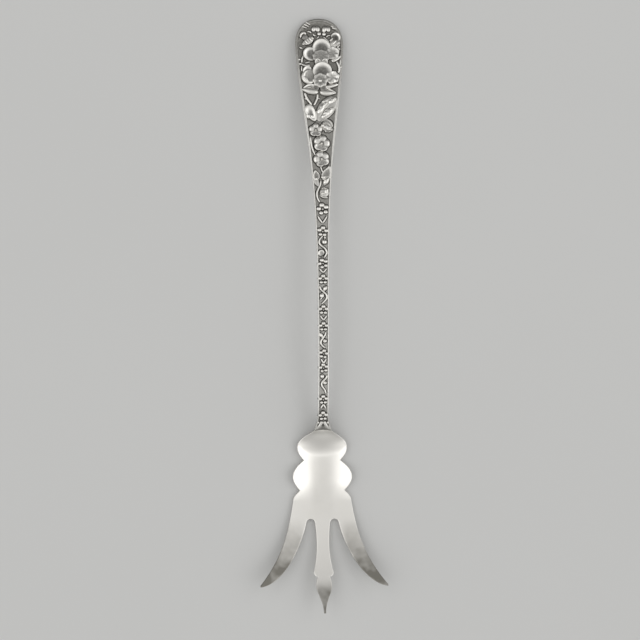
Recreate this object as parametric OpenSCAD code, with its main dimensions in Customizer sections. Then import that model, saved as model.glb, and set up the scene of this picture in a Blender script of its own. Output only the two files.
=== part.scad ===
// Long-handled serving fork in silver: a pressed three-tine head soldered to a struck handle,
// with a floral ornament raised on the handle's sunk panel.
// X runs across the fork, +Y towards the handle's round end, +Z up. The table is at Z = 0.
// "d" is the distance from the handle's round end, "e" the distance past the shoulder, both in plan.

/* [Handle outline] */
// Length of the handle, from its round end to the shoulder
handle_len = 159; // [140:1:190]
// Width of the handle's broad end
end_w = 18.8; // [15:0.1:24]
// Distance from the round end to its widest place
end_len = 11.2; // [9:0.1:14]
// Fullness of the round end, where 2 is an ellipse
end_power = 2.3; // [2:0.1:3]
// Length over which the broad end tapers into the stem
taper_len = 46; // [36:1:56]
// Width of the slim stem
stem_w = 4.1; // [3.6:0.1:5]
// Width of the foot at the shoulder
shoulder_w = 6.8; // [6.2:0.1:9]
// Length of the flare from the stem to the shoulder
flare_len = 7; // [5:0.5:10]

/* [Handle section] */
// Plate thickness at the round end
end_t = 1.5; // [1.2:0.1:2.2]
// Plate thickness along the stem
stem_t = 2.4; // [2:0.1:3]
// Width of the plain raised border
border_w = 0.62; // [0.45:0.01:0.8]
// Height of the border above the sunk panel
border_h = 0.45; // [0.25:0.05:0.8]
// Length of the plain foot between panel and shoulder
foot_plain = 2.2; // [1.5:0.1:3]
// Height of the panel at the crest of the handle
crest_z = 12.2; // [9:0.1:16]
// Distance from the crest to the shoulder
neck_len = 44; // [36:1:52]
// Height of the panel at the shoulder
shoulder_z = 6.2; // [5:0.1:8]

/* [Joint] */
// Length of the lap where the head's pointed tongue lies under the foot
lap_len = 6.5; // [5:0.5:7]
// Thickness of the tongue at its point
tongue_t = 0.4; // [0.3:0.05:0.8]
// Thickness of the solder between foot and tongue
solder_t = 0.1; // [0.06:0.01:0.2]

/* [Head outline] */
// Length of the head, from the shoulder to the middle tine's tip
head_len = 70.2; // [66:0.2:80]
// Width across the upper pair of lobes
upper_lobe_w = 19.2; // [17:0.1:22]
// Distance of the upper lobes past the shoulder
upper_lobe_at = 6.5; // [5.5:0.1:7.5]
// Width across the first pair of notches
first_notch_w = 14.2; // [12:0.1:16]
// Distance of the first notches past the shoulder
first_notch_at = 11.5; // [10.5:0.1:12.5]
// Width across the lower pair of lobes
lower_lobe_w = 22.9; // [20:0.1:26]
// Distance of the lower lobes past the shoulder
lower_lobe_at = 17.8; // [16:0.1:19]
// Width across the second pair of notches
second_notch_w = 17.4; // [16:0.1:19]
// Distance of the second notches past the shoulder
second_notch_at = 23.2; // [22:0.1:24.5]
// Width across the shoulders of the side tines
tine_shoulder_w = 22.6; // [20:0.1:25]
// Distance of the side tines' shoulders past the fork's shoulder
tine_shoulder_at = 27.5; // [26:0.1:29]

/* [Tines] */
// Width across the tips of the side tines
tine_spread = 50.4; // [44:0.2:56]
// Distance of the side tips past the shoulder
side_tip_at = 60; // [56:0.2:64]
// Outward lean of a side tine's outer edge, before its curve
outer_lean = 5.5; // [4:0.1:7]
// Outward lean of a side tine's inner edge, before its curve
inner_lead = 5.8; // [5:0.1:8]
// Distance of each slot's centre line from the axis, at its root
slot_x = 4.62; // [4.2:0.02:5]
// Radius of a slot's round root
slot_r = 1.75; // [1.4:0.05:2]
// Distance of the slot roots past the shoulder
slot_root_at = 34.2; // [33:0.2:37]
// Width of the middle tine's neck
middle_neck_w = 4.8; // [4:0.1:5.4]
// Distance of the middle tine's neck past the shoulder
middle_neck_at = 44; // [42:0.2:47]
// Width of the middle tine's flare
middle_flare_w = 7.6; // [6.4:0.1:8.6]
// Distance of the flare past the shoulder
middle_flare_at = 54.6; // [53:0.2:55.6]
// Width of the pinch under the flare
middle_pinch_w = 4.7; // [4:0.1:5.4]
// Distance of the pinch past the shoulder
middle_pinch_at = 56.3; // [55.9:0.1:57.5]
// Width of the spear at the middle tine's end
spear_w = 6.1; // [5.2:0.1:7]
// Distance of the spear's widest place past the shoulder
spear_at = 60.4; // [59:0.2:62]
// Width of the middle tine's blunt tip
tip_w = 0.7; // [0.5:0.1:1]

/* [Head section] */
// Plate thickness of the bowl and tines
head_t = 1.4; // [1.1:0.1:2]
// Length over which the heel drops into the bowl
heel_len = 10.5; // [9:0.5:12]
// Distance past the shoulder where the tines start to rise
floor_end_at = 17; // [14:0.5:20]
// Rise of the middle tine's tip above the bowl's floor
tip_lift = 9; // [6:0.5:12]
// Rise of the bowl's sides above its middle, at the lower lobes
dish_depth = 2.3; // [1.5:0.1:3]
// Share of the dishing that is left in the tines
tine_dish = 0.15; // [0:0.05:0.4]
// Depth worn flat off the underside where the fork rests
worn_flat = 0.15; // [0.08:0.01:0.3]

/* [Ornament] */
// Height of the tallest flowers above the panel
relief = 1.25; // [0.8:0.05:1.6]
// Gap that keeps the ornament clear of the border and of its neighbours
ornament_gap = 0.12; // [0.06:0.02:0.25]
// Distance of the two tip buds from the round end
tip_buds_at = 4.2; // [3.8:0.1:4.8]
// Distance of the upper rose from the round end
upper_rose_at = 14.4; // [13.6:0.1:15]
// Distance of the upper rose and the tip buds from the centre line
upper_rose_x = 0.6; // [0:0.1:1]
// Radius of the upper rose
upper_rose_r = 6.6; // [5.6:0.1:6.8]
// Distance of the lower rose from the round end
lower_rose_at = 23.9; // [23:0.1:24.6]
// Radius of the lower rose
lower_rose_r = 6.9; // [5.8:0.1:7.2]
// Distance of the leaf spray's base from the round end
spray_at = 39.8; // [39:0.2:40.4]
// Distance of the first small blossom from the round end
first_blossom_at = 43.6; // [43:0.1:44]
// Distance of the second small blossom from the round end
second_blossom_at = 48.7; // [48.2:0.1:49.4]
// Distance of the third small blossom from the round end
third_blossom_at = 54.8; // [54:0.1:55.4]
// Distance of the leaf pair's base from the round end
pair_at = 64.8; // [63.8:0.2:65.4]
// Distance of the half-open bud from the round end
bud_at = 67.9; // [67.4:0.1:68.4]
// Distance of the first stem blossom from the round end
stem_start = 73.4; // [72.8:0.2:75]
// Length of the stem's first repeat
repeat_len = 20.5; // [18:0.5:24]
// Ratio of each repeat's length to the one before it
repeat_shrink = 0.92; // [0.9:0.01:0.99]
// Length of the leaves at the foot of the panel
foot_leaf_len = 2; // [1.6:0.1:2.4]
// Thickness of the vines and stalks
vine_w = 0.6; // [0.4:0.05:0.8]

/* [Hidden] */
$fn = 96;

silver = "#d8d7d2";
bright_silver = "#e6e5e1";
solder_grey = "#b9b7b0";

overall_len = handle_len + head_len;
crest_d = handle_len - neck_len;
panel_end = handle_len - foot_plain;
end_z = end_t - worn_flat;
petals = 5;
// Place of a repeat's second blossom, as a share of the repeat
pair_share = 0.36;
// Turns of a rose's wide back petals and small front petals, in degrees
back_petal_turn = 74;
front_petal_turn = 152;
// Reach of the front petals, as a share of the rose's radius
front_reach = 0.7;
// Distance from the crossed stalks' lower ends to the leaf spray's base
stalks_to_spray = 6.4;
// Share of a place's distance from the axis that counts along the heel, and the run over which it comes in
heel_round_share = 0.8;
heel_round_len = 6;
// Least width of the head's tongue at its point
tongue_point_w = 0.6;
// Power of the taper's bell curve
taper_power = 1.9;
// Share of a side tine's run at which its blunt tip is cut
tip_stop = 0.975;
// Powers of a side tine's outward curl and of the spear's taper
curl_power = 2.7;
spear_power = 0.75;
// Powers of the upper lobe's hollow start and of its round
lobe_lead_power = 1.25;
lobe_turn_power = 2.4;
// Rows of the head's mesh between its stations, and columns across its parts
heel_rows = 11;
lobe_rows = 12;
palm_rows = 9;
side_rows = 16;
middle_rows = [4, 5, 4, 4, 7];
half_middle_cols = 2;
slot_cols = 6;
side_cols = 5;

// Plan and profile of the handle

function y_at(d) = overall_len / 2 - d;
function arc_radius(run, drop) = (run * run + drop * drop) / (2 * drop);

handle_r = arc_radius(crest_d, crest_z - end_z);
neck_r = arc_radius(neck_len, crest_z - shoulder_z);
back_r = arc_radius(crest_d, crest_z - stem_t - (end_z - end_t));

// Height of the sunk panel above the table
function panel_z(d) = d < crest_d
    ? crest_z - handle_r + sqrt(handle_r * handle_r - pow(crest_d - d, 2))
    : crest_z - neck_r + sqrt(neck_r * neck_r - pow(d - crest_d, 2));

// Tilt of the panel about X, in degrees
function panel_tilt(d) = d < crest_d ? -asin((crest_d - d) / handle_r) : asin((d - crest_d) / neck_r);

// Half width of the handle: a bell-curve taper, a superellipse round end and a flared foot
function round_end(d) = d < end_len ? pow(1 - pow(1 - d / end_len, end_power), 1 / end_power) : 1;
function taper(d) = exp(-pow(max(0, d - end_len / 2) / taper_len, taper_power));
function flare(d) = pow(max(0, d - handle_len + flare_len) / flare_len, 2);
function half_w(d) = (stem_w + (end_w - stem_w) * taper(d)) / 2 * round_end(d)
    + (shoulder_w - stem_w) / 2 * flare(d);
function panel_hw(d) = half_w(d) - border_w;

// Distances at which the outline is drawn: close on the round end, wide on the straight stem
function outline_stations(last) = concat(
    [for (i = [0:10]) end_len * (1 - cos(9 * i))],
    [for (i = [1:26]) end_len + (2.2 * taper_len - end_len) * i / 26],
    [for (i = [0:6]) handle_len - flare_len + (last - handle_len + flare_len) * i / 6]
);

// Right-hand edge moved in by an inset, as far as the distance "last"
function inset_edge(inset, last) = [
    for (d = outline_stations(last))
        let (shrink = inset / end_len)
        d < end_len
            ? [half_w(d) * (1 - inset / half_w(end_len)), y_at(inset + d * (1 - shrink))]
            : [half_w(d) - inset, y_at(d)]
];
function reversed_mirror(edge) = [for (i = [len(edge) - 1:-1:0]) [-edge[i][0], edge[i][1]]];

module handle_outline(inset = 0, last = handle_len) {
    edge = inset_edge(inset, last);
    left = reversed_mirror(edge);
    polygon(concat(edge, [for (i = [0:len(left) - 2]) left[i]]));
}

// A disc across the fork whose rim is one of the handle's arcs
module arc_disc(r, top_z) {
    translate([0, y_at(crest_d), top_z - r]) rotate([0, 90, 0])
        cylinder(r = r, h = 2 * end_w, center = true, $fn = 256);
}

module end_side() {
    translate([-end_w, y_at(crest_d), -crest_z]) cube([2 * end_w, crest_d + end_len, 3 * crest_z]);
}

module neck_side() {
    translate([-end_w, y_at(handle_len + end_len), -crest_z])
        cube([2 * end_w, neck_len + end_len, 3 * crest_z]);
}

// The bent plate, from its back up to a height above the panel
module bent_plate(above) {
    intersection() {
        difference() {
            arc_disc(handle_r + above, crest_z + above);
            arc_disc(back_r, crest_z - stem_t);
        }
        end_side();
    }
    intersection() {
        difference() {
            arc_disc(neck_r + above, crest_z + above);
            arc_disc(neck_r - stem_t, crest_z - stem_t);
        }
        neck_side();
    }
}

module upright(height) {
    translate([0, 0, -height]) linear_extrude(height = 3 * height) children();
}

// Space above an arc, on one side of the crest
module over_arc(r) {
    difference() {
        arc_disc(r + 2 * border_h, crest_z + 2 * border_h);
        arc_disc(r, crest_z);
    }
}

module panel_space() {
    intersection() {
        upright(crest_z) handle_outline(border_w, panel_end);
        union() {
            intersection() {
                over_arc(handle_r);
                end_side();
            }
            intersection() {
                over_arc(neck_r);
                neck_side();
            }
        }
    }
}

// Lap joint between foot and tongue

lap_top_z = panel_z(handle_len) - solder_t;
lap_end_z = panel_z(handle_len - lap_len) - stem_t;
lap_angle = atan2(lap_end_z - lap_top_z, lap_len);
// The tongue's sides leave the shoulder along the foot's flare, so that they stay under the foot
tongue_hw = max(tongue_point_w / 2, shoulder_w / 2 - lap_len * (shoulder_w - stem_w) / flare_len);

// Places children with their Y axis along the lap, from the shoulder towards the handle
module on_lap(lift = 0) {
    translate([0, y_at(handle_len), lap_top_z]) rotate([lap_angle, 0, 0])
        translate([0, 0, lift]) children();
}

module below_lap() {
    on_lap(solder_t) translate([-end_w, -end_len, -2 * crest_z])
        cube([2 * end_w, end_len + 3 * lap_len, 2 * crest_z]);
}

module handle() {
    color(silver) difference() {
        intersection() {
            bent_plate(border_h);
            upright(crest_z) handle_outline();
            translate([-end_w, -overall_len, 0]) cube([2 * end_w, 2 * overall_len, 3 * crest_z]);
        }
        panel_space();
        below_lap();
    }
}

module solder_seam() {
    run = lap_len / cos(lap_angle);
    color(solder_grey) on_lap() linear_extrude(height = solder_t) polygon([
        [-shoulder_w / 2, 0], [shoulder_w / 2, 0], [tongue_hw, run], [-tongue_hw, run]
    ]);
}

// Fork head: one dished plate with lobed sides and three tines

root_e = slot_root_at + slot_r;

// Parabola with its peak at one place, falling to a foot at another
function bow(e, peak_at, foot_at, peak, foot) =
    peak - (peak - foot) * pow((e - peak_at) / (foot_at - peak_at), 2);
function ease(t) = let (u = min(1, max(0, t))) u * u * (3 - 2 * u);
function steps(from, to, count) = [for (i = [0:count - 1]) from + (to - from) * i / count];

function outer_edge(e) =
    let (s = (e - tine_shoulder_at) / (side_tip_at - tine_shoulder_at))
    tine_shoulder_w / 2 + outer_lean * s + ((tine_spread - tine_shoulder_w) / 2 - outer_lean) * pow(s, curl_power);

// Rise from the shoulder to the upper lobe: hollow at first, then rounding over
function lobe_rise(u) = 1 - pow(1 - pow(u, lobe_lead_power), lobe_turn_power);

function side_edge(e) =
    e < 0 ? shoulder_w / 2 + (shoulder_w / 2 - tongue_hw) * e / lap_len :
    e <= upper_lobe_at ? (shoulder_w + (upper_lobe_w - shoulder_w) * lobe_rise(e / upper_lobe_at)) / 2 :
    e <= first_notch_at ? bow(e, upper_lobe_at, first_notch_at, upper_lobe_w, first_notch_w) / 2 :
    e <= lower_lobe_at ? bow(e, lower_lobe_at, first_notch_at, lower_lobe_w, first_notch_w) / 2 :
    e <= second_notch_at ? bow(e, lower_lobe_at, second_notch_at, lower_lobe_w, second_notch_w) / 2 :
    e <= tine_shoulder_at ? bow(e, tine_shoulder_at, second_notch_at, tine_shoulder_w, second_notch_w) / 2 :
    outer_edge(e);

// Inner edge of a side tine, for t from its root to its tip
function inner_edge(t) = let (reach = tine_spread / 2 - slot_x - slot_r - inner_lead) [
    slot_x + slot_r + inner_lead * sin(90 * t) + reach * (1 - cos(90 * t)),
    root_e + (side_tip_at - root_e) * sin(90 * t)
];

// Half width of the middle tine: neck, flare, pinch and spear
function middle_edge(e) =
    e <= middle_neck_at ? bow(e, middle_neck_at, root_e, middle_neck_w / 2, slot_x - slot_r) :
    e <= middle_flare_at ? bow(e, middle_neck_at, middle_flare_at, middle_neck_w, middle_flare_w) / 2 :
    e <= middle_pinch_at ? (middle_pinch_w + (middle_flare_w - middle_pinch_w)
        * sqrt(1 - pow((e - middle_flare_at) / (middle_pinch_at - middle_flare_at), 2))) / 2 :
    e <= spear_at ? bow(e, spear_at, middle_pinch_at, spear_w, middle_pinch_w) / 2 :
    (spear_w - (spear_w - tip_w) * ease(pow((e - spear_at) / (head_len - spear_at), spear_power))) / 2;

// Height of the plate's upper side: a heel, a floor and rising tines, dished across
floor_z = head_t - worn_flat;
heel_slope = -tan(panel_tilt(handle_len));
function heel_z(u) = (1 + 2 * u) * pow(1 - u, 2) * lap_top_z + u * pow(1 - u, 2) * heel_len * heel_slope
    + u * u * (3 - 2 * u) * floor_z;
// Distance along the heel: it runs out sooner away from the axis, so the heel is round in plan
function heel_e(x, e) = sqrt(e * e + pow(heel_round_share * x, 2) * ease(e / heel_round_len));
function spine_z(x, e) =
    e < 0 ? lap_top_z + (lap_top_z - lap_end_z) * e / lap_len :
    heel_z(min(1, heel_e(x, e) / heel_len))
        + tip_lift * pow(max(0, e - floor_end_at) / (head_len - floor_end_at), 2);
function dish(e) = dish_depth / pow(lower_lobe_w / 2, 2) * ease(e / upper_lobe_at)
    * (1 - (1 - tine_dish) * ease((e - lower_lobe_at) / (tine_shoulder_at - lower_lobe_at)));
function top_z(x, e) = spine_z(x, e) + dish(e) * x * x;
function plate_t(e) =
    e < 0 ? stem_t + (stem_t - tongue_t) * e / lap_len :
    head_t + (stem_t - head_t) * (1 - ease(e / heel_len));
function under_z(x, e) = max(0, top_z(x, e) - plate_t(e));

// Grid of the palm: columns at fixed shares of the half width, last row round the slots
root_hw = side_edge(root_e);
half_shares = concat(
    [for (i = [1:half_middle_cols]) (slot_x - slot_r) / root_hw * i / half_middle_cols],
    [for (i = [1:slot_cols]) (slot_x - slot_r * cos(180 * i / slot_cols)) / root_hw],
    [for (i = [1:side_cols]) let (a = (slot_x + slot_r) / root_hw) a + (1 - a) * i / side_cols]
);
half_cols = len(half_shares);
shares = concat([for (i = [half_cols - 1:-1:0]) -half_shares[i]], [0], half_shares);
cols = len(shares);
function root_at(share) = let (off = abs(abs(share) * root_hw - slot_x))
    off < slot_r ? root_e - sqrt(slot_r * slot_r - off * off) : root_e;
// Rows past this distance bend round the slot roots
slot_fan_at = tine_shoulder_at;
function slot_fan(e, last) = slot_fan_at + (e - slot_fan_at) * (last - slot_fan_at) / (root_e - slot_fan_at);
palm_e = concat(
    [-lap_len], steps(0, first_notch_at, heel_rows), steps(first_notch_at, second_notch_at, lobe_rows),
    steps(second_notch_at, root_e, palm_rows), [root_e]
);
palm_xe = [for (e = palm_e) for (share = shares)
    [share * side_edge(e), e > slot_fan_at ? slot_fan(e, root_at(share)) : e]];

middle_marks = [root_e, middle_neck_at, middle_flare_at, middle_pinch_at, spear_at, head_len];
middle_e = [for (k = [0:4]) for (i = [1:middle_rows[k]])
    middle_marks[k] + (middle_marks[k + 1] - middle_marks[k]) * i / middle_rows[k]];
middle_cols = 2 * half_middle_cols + 1;
middle_xe = [for (e = middle_e) for (j = [0:middle_cols - 1])
    [middle_edge(e) * (j / half_middle_cols - 1), e]];

// Rows of a side tine run from its inner edge to its outer one
function side_row(t) =
    let (e_out = root_e + (side_tip_at - root_e) * t, a = inner_edge(t), b = [outer_edge(e_out), e_out])
    [for (j = [0:side_cols]) a + (b - a) * j / side_cols];
right_xe = [for (i = [1:side_rows]) each side_row(tip_stop * i / side_rows)];
left_xe = [for (p = right_xe) [-p[0], p[1]]];

plan = concat(palm_xe, middle_xe, right_xe, left_xe);
middle_first = len(palm_xe);
right_first = middle_first + len(middle_xe);
left_first = right_first + len(right_xe);
last_row = (len(palm_e) - 1) * cols;
middle_col = half_cols - half_middle_cols;
right_col = cols - 1 - side_cols;

// Index of a point in the palm, the middle tine and the two side tines, whose row 0 is the palm's last
function palm_at(i, j) = i * cols + j;
function middle_at(i, j) = i == 0 ? last_row + middle_col + j : middle_first + (i - 1) * middle_cols + j;
function right_at(i, j) = i == 0 ? last_row + right_col + j : right_first + (i - 1) * (side_cols + 1) + j;
function left_at(i, j) = i == 0 ? last_row + side_cols - j : left_first + (i - 1) * (side_cols + 1) + j;

function quads(rows, columns, at) = [
    for (i = [0:rows - 1]) for (j = [0:columns - 2])
        each [[at(i, j), at(i, j + 1), at(i + 1, j + 1)], [at(i, j), at(i + 1, j + 1), at(i + 1, j)]]
];
function turned(faces) = [for (f = faces) [f[2], f[1], f[0]]];

middle_count = len(middle_e);
upper_faces = concat(
    quads(len(palm_e) - 1, cols, function(i, j) palm_at(i, j)),
    quads(middle_count, middle_cols, function(i, j) middle_at(i, j)),
    quads(side_rows, side_cols + 1, function(i, j) right_at(i, j)),
    turned(quads(side_rows, side_cols + 1, function(i, j) left_at(i, j)))
);

// The plate's rim, once round: shoulder, right tine, slot, middle tine, slot, left tine
rim = concat(
    [for (j = [0:cols - 1]) palm_at(0, j)],
    [for (i = [1:len(palm_e) - 2]) palm_at(i, cols - 1)],
    [for (i = [0:side_rows]) right_at(i, side_cols)],
    [for (j = [side_cols - 1:-1:1]) right_at(side_rows, j)],
    [for (i = [side_rows:-1:0]) right_at(i, 0)],
    [for (j = [1:slot_cols - 1]) last_row + right_col - j],
    [for (i = [0:middle_count]) middle_at(i, middle_cols - 1)],
    [for (j = [middle_cols - 2:-1:1]) middle_at(middle_count, j)],
    [for (i = [middle_count:-1:0]) middle_at(i, 0)],
    [for (j = [1:slot_cols - 1]) last_row + middle_col - j],
    [for (i = [0:side_rows]) left_at(i, 0)],
    [for (j = [1:side_cols - 1]) left_at(side_rows, j)],
    [for (i = [side_rows:-1:0]) left_at(i, side_cols)],
    [for (i = [len(palm_e) - 2:-1:1]) palm_at(i, 0)]
);

function above_point(p) = [p[0], y_at(handle_len + p[1]), top_z(p[0], p[1])];
function under_point(p) = [p[0], y_at(handle_len + p[1]), under_z(p[0], p[1])];

module fork_head() {
    count = len(plan);
    points = concat([for (p = plan) above_point(p)], [for (p = plan) under_point(p)]);
    walls = [
        for (k = [0:len(rim) - 1])
            let (a = rim[k], b = rim[(k + 1) % len(rim)])
            each [[a, a + count, b + count], [a, b + count, b]]
    ];
    under_faces = [for (f = turned(upper_faces)) [f[0] + count, f[1] + count, f[2] + count]];
    color(bright_silver)
        polyhedron(points = points, faces = concat(upper_faces, under_faces, walls), convexity = 10);
}

// Ornament: each motif is a low solid with a flat foot on the panel

// Places children on the panel at x and d, turned about the panel's normal, with +Y towards the round end
module on_panel(x, d, turn = 0) {
    translate([x, y_at(d), panel_z(d)]) rotate([panel_tilt(d), 0, 0]) rotate(turn) children();
}

module above_panel(reach) {
    intersection() {
        children();
        translate([-reach, -reach, 0]) cube([2 * reach, 2 * reach, 2 * reach]);
    }
}

// Low dome of a foot radius and a height
module boss(r, h) {
    big_r = (r * r + h * h) / (2 * h);
    translate([0, 0, h - big_r]) sphere(big_r);
}

// Cupped petal: a dome with a shallow hollow towards the flower's centre
module petal(r, h) {
    hollow_r = 0.72 * r;
    hollow_h = 0.5 * h;
    ball_r = (hollow_r * hollow_r + hollow_h * hollow_h) / (2 * hollow_h);
    difference() {
        boss(r, h);
        translate([0, -0.22 * r, h - hollow_h + ball_r]) sphere(ball_r);
    }
}

module petal_ring(r, h, count, petal_r, turn = 0) {
    for (k = [0:count - 1])
        rotate(turn + 360 / count * k) translate([0, r - petal_r, 0]) boss(petal_r, h);
}

// Small five-petal blossom with a bead
module blossom(r, h, turn = 0) {
    above_panel(2 * r) union() {
        petal_ring(r, h, petals, 0.46 * r, turn);
        boss(0.3 * r, 0.8 * h);
    }
}

// Rose: three wide petals behind, two small ones in front, a rosette and a bead
module rose(r, h) {
    back_r = 0.48 * r;
    front_r = 0.3 * r;
    above_panel(2 * r) union() {
        for (turn = [-back_petal_turn, 0, back_petal_turn])
            rotate(turn) translate([0, r - back_r, 0]) petal(back_r, 0.8 * h);
        for (turn = [-front_petal_turn, front_petal_turn])
            rotate(turn) translate([0, (front_reach * r - front_r) / -cos(turn), 0]) petal(front_r, 0.7 * h);
        petal_ring(0.44 * r, 0.85 * h, petals, 0.22 * r, 180 / petals);
        boss(0.14 * r, h);
    }
}

// Pointed leaf along +Y from its base, domed, with a groove for its midrib
module leaf(l, w, h, groove = true) {
    side_r = (l * l + w * w) / (4 * w);
    above_panel(2 * l) difference() {
        intersection() {
            translate([side_r - w / 2, l / 2, 0]) cylinder(r = side_r, h = 2 * h);
            translate([w / 2 - side_r, l / 2, 0]) cylinder(r = side_r, h = 2 * h);
            translate([0, l / 2, 0]) boss(0.56 * l, h);
        }
        if (groove) translate([0, 0.1 * l, h]) rotate([-90, 0, 0]) cylinder(r = 0.25 * h, h = l);
    }
}

// Half-round stalk from one point of the panel to another
module stalk(from, to, w = vine_w) {
    run = to - from;
    above_panel(2 * norm(run) + w) translate([from[0], from[1], 0])
        rotate(atan2(run[1], run[0])) rotate([0, 90, 0]) cylinder(d = w, h = norm(run), $fn = 32);
}

// Half-round arc that bows to -X by a sagitta between its ends at y = 0 and y = -chord
module bowed_stalk(chord, sagitta, w = vine_w) {
    r = arc_radius(chord / 2, sagitta);
    half_angle = asin(chord / 2 / r);
    above_panel(2 * chord) translate([r - sagitta, -chord / 2, 0]) rotate(180 - half_angle)
        rotate_extrude(angle = 2 * half_angle) translate([r, 0]) circle(d = w, $fn = 32);
}

bead_h = 0.55 * relief;
leaf_h = 0.7 * relief;
rose_reach = lower_rose_r + ornament_gap;
sepal_d = lower_rose_at + front_reach * lower_rose_r + 3 * ornament_gap;

module tip_buds() {
    bud_r = (upper_rose_at - upper_rose_r - tip_buds_at) / 2 - ornament_gap;
    bead_r = 0.5 * bud_r;
    bead_d = tip_buds_at + bud_r + bead_r;
    color(silver) for (side = [-1, 1]) {
        on_panel(upper_rose_x + side * (bud_r + ornament_gap), tip_buds_at)
            above_panel(2 * bud_r) boss(bud_r, bead_h);
        on_panel(upper_rose_x + side * (bead_r + ornament_gap), bead_d)
            above_panel(2 * bead_r) boss(bead_r - ornament_gap / 2, 0.7 * bead_h);
    }
}

// Leaves in the corners between the upper rose's top petal and its side petals
module tip_leaves() {
    turn = back_petal_turn / 2;
    reach = upper_rose_r;
    color(silver) on_panel(upper_rose_x, upper_rose_at) for (side = [-1, 1])
        rotate(-side * turn) translate([0, 0.92 * reach, 0]) rotate(-side * turn / 2)
            leaf(0.62 * reach, 0.4 * reach, leaf_h);
}

module upper_rose() {
    color(silver) difference() {
        on_panel(upper_rose_x, upper_rose_at) rose(upper_rose_r, relief);
        on_panel(0, lower_rose_at) translate([0, 0, -relief]) cylinder(r = rose_reach, h = 4 * relief);
    }
}

// Small leaves on stalks in the gaps between the roses' side petals
module rose_twigs() {
    d = (upper_rose_at + lower_rose_at) / 2;
    reach = panel_hw(d) - ornament_gap;
    length = 0.4 * (lower_rose_at - upper_rose_at);
    color(silver) for (side = [-1, 1])
        on_panel(side * 0.93 * reach, d + length / 2, side * 6) union() {
            stalk([0, -0.2 * length], [0, 0.3 * length], 0.7 * vine_w);
            translate([0, 0.2 * length, 0]) leaf(0.8 * length, 0.15 * reach, 0.7 * leaf_h, false);
        }
}

module lower_rose() {
    color(silver) on_panel(0, lower_rose_at) rose(lower_rose_r, relief);
}

module rose_sepals() {
    d = sepal_d + 0.13 * lower_rose_r;
    reach = panel_hw(d + 1) - ornament_gap;
    color(silver) for (side = [-1, 1]) {
        on_panel(side * ornament_gap, d, -side * 92) leaf(0.92 * reach, 0.25 * reach, leaf_h);
        on_panel(side * 0.6 * lower_rose_r, lower_rose_at + 0.56 * lower_rose_r, -side * 110)
            leaf(0.9 * (reach - 0.6 * lower_rose_r), 0.13 * reach, leaf_h, false);
    }
}

// Two stalks that lean together between the sepals and the leaf spray
stalks_from = sepal_d + 0.3 * lower_rose_r;
stalks_run = spray_at - stalks_from - stalks_to_spray;

module crossed_stalks() {
    reach = panel_hw(stalks_from + stalks_run) - ornament_gap;
    color(silver) on_panel(0, stalks_from) {
        stalk([-0.86 * reach, 0], [-0.46 * reach, -stalks_run]);
        stalk([-0.06 * reach, 0], [-0.32 * reach, -stalks_run]);
    }
}

module leaf_spray() {
    reach = panel_hw(spray_at) - ornament_gap;
    base_gap = 0.16 * reach;
    color(silver) on_panel(-0.3 * reach, spray_at) {
        rotate(36) translate([0, base_gap, 0]) leaf(1.1 * reach, 0.66 * reach, leaf_h);
        rotate(-39) translate([0, base_gap, 0]) leaf(1.72 * reach, 0.72 * reach, leaf_h);
        rotate(-98) translate([0, 2 * base_gap, 0]) leaf(0.9 * reach, 0.5 * reach, leaf_h);
    }
}

// Three blossoms that just clear each other
first_x = -0.36 * panel_hw(first_blossom_at);
first_pitch = norm([first_x, second_blossom_at - first_blossom_at]);
first_r = 0.44 * first_pitch - ornament_gap / 2;
second_r = first_pitch - first_r - ornament_gap;
third_r = third_blossom_at - second_blossom_at - second_r - ornament_gap;

module blossom_trio() {
    color(silver) {
        on_panel(first_x, first_blossom_at) blossom(first_r, 0.85 * relief);
        on_panel(0, second_blossom_at) blossom(second_r, 0.85 * relief, 180 / petals);
        on_panel(0, third_blossom_at) blossom(third_r, 0.85 * relief);
    }
}

// Stalk along the border, beside the lower blossoms
module trio_vine() {
    w = 0.75 * vine_w;
    from_d = second_blossom_at - 0.5 * second_r;
    to_d = third_blossom_at;
    from_x = panel_hw(from_d) - ornament_gap - w / 2;
    to_x = panel_hw(to_d) - ornament_gap - w / 2;
    color(silver) on_panel(0, from_d) stalk([-from_x, 0], [-to_x, from_d - to_d], w);
}

module leaf_pair() {
    reach = panel_hw(pair_at) - ornament_gap;
    left_l = 0.95 * (pair_at - third_blossom_at - third_r);
    right_l = 1.05 * left_l;
    color(silver) on_panel(0, pair_at) {
        rotate(14) translate([-0.1 * reach, 0, 0]) leaf(left_l, 0.66 * reach, leaf_h);
        rotate(-16) translate([0.1 * reach, 0, 0]) leaf(right_l, 0.74 * reach, leaf_h);
    }
}

module half_open_bud() {
    r = 0.56 * panel_hw(bud_at);
    color(silver) on_panel(panel_hw(bud_at) - r - ornament_gap, bud_at)
        above_panel(2 * r) union() {
            boss(r, 0.8 * relief);
            translate([-0.35 * r, -0.1 * r, 0]) boss(0.42 * r, 0.95 * relief);
        }
}

module bud_vine() {
    from_d = pair_at + ornament_gap;
    chord = stem_start - panel_hw(stem_start) - ornament_gap - from_d;
    color(silver) on_panel(-0.2 * panel_hw(bud_at), from_d) bowed_stalk(chord, 0.4 * panel_hw(bud_at));
}

// The stem's repeat: a blossom, a chevron, a blossom and a winding vine with two buds
function repeat_at(k) = stem_start + repeat_len * (1 - pow(repeat_shrink, k)) / (1 - repeat_shrink);
function pair_mate_at(k) = repeat_at(k) + pair_share * repeat_len * pow(repeat_shrink, k);
function blossom_r(d) = min(panel_hw(d), stem_w / 2) - ornament_gap;
function after_blossom(d) = d + blossom_r(d) + ornament_gap;
function before_blossom(d) = d - blossom_r(d) - ornament_gap;
leaves_from = panel_end - foot_leaf_len - ornament_gap;
most_repeats = 12;
repeats = [for (k = [0:most_repeats]) if (after_blossom(pair_mate_at(k)) < leaves_from) k];

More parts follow.
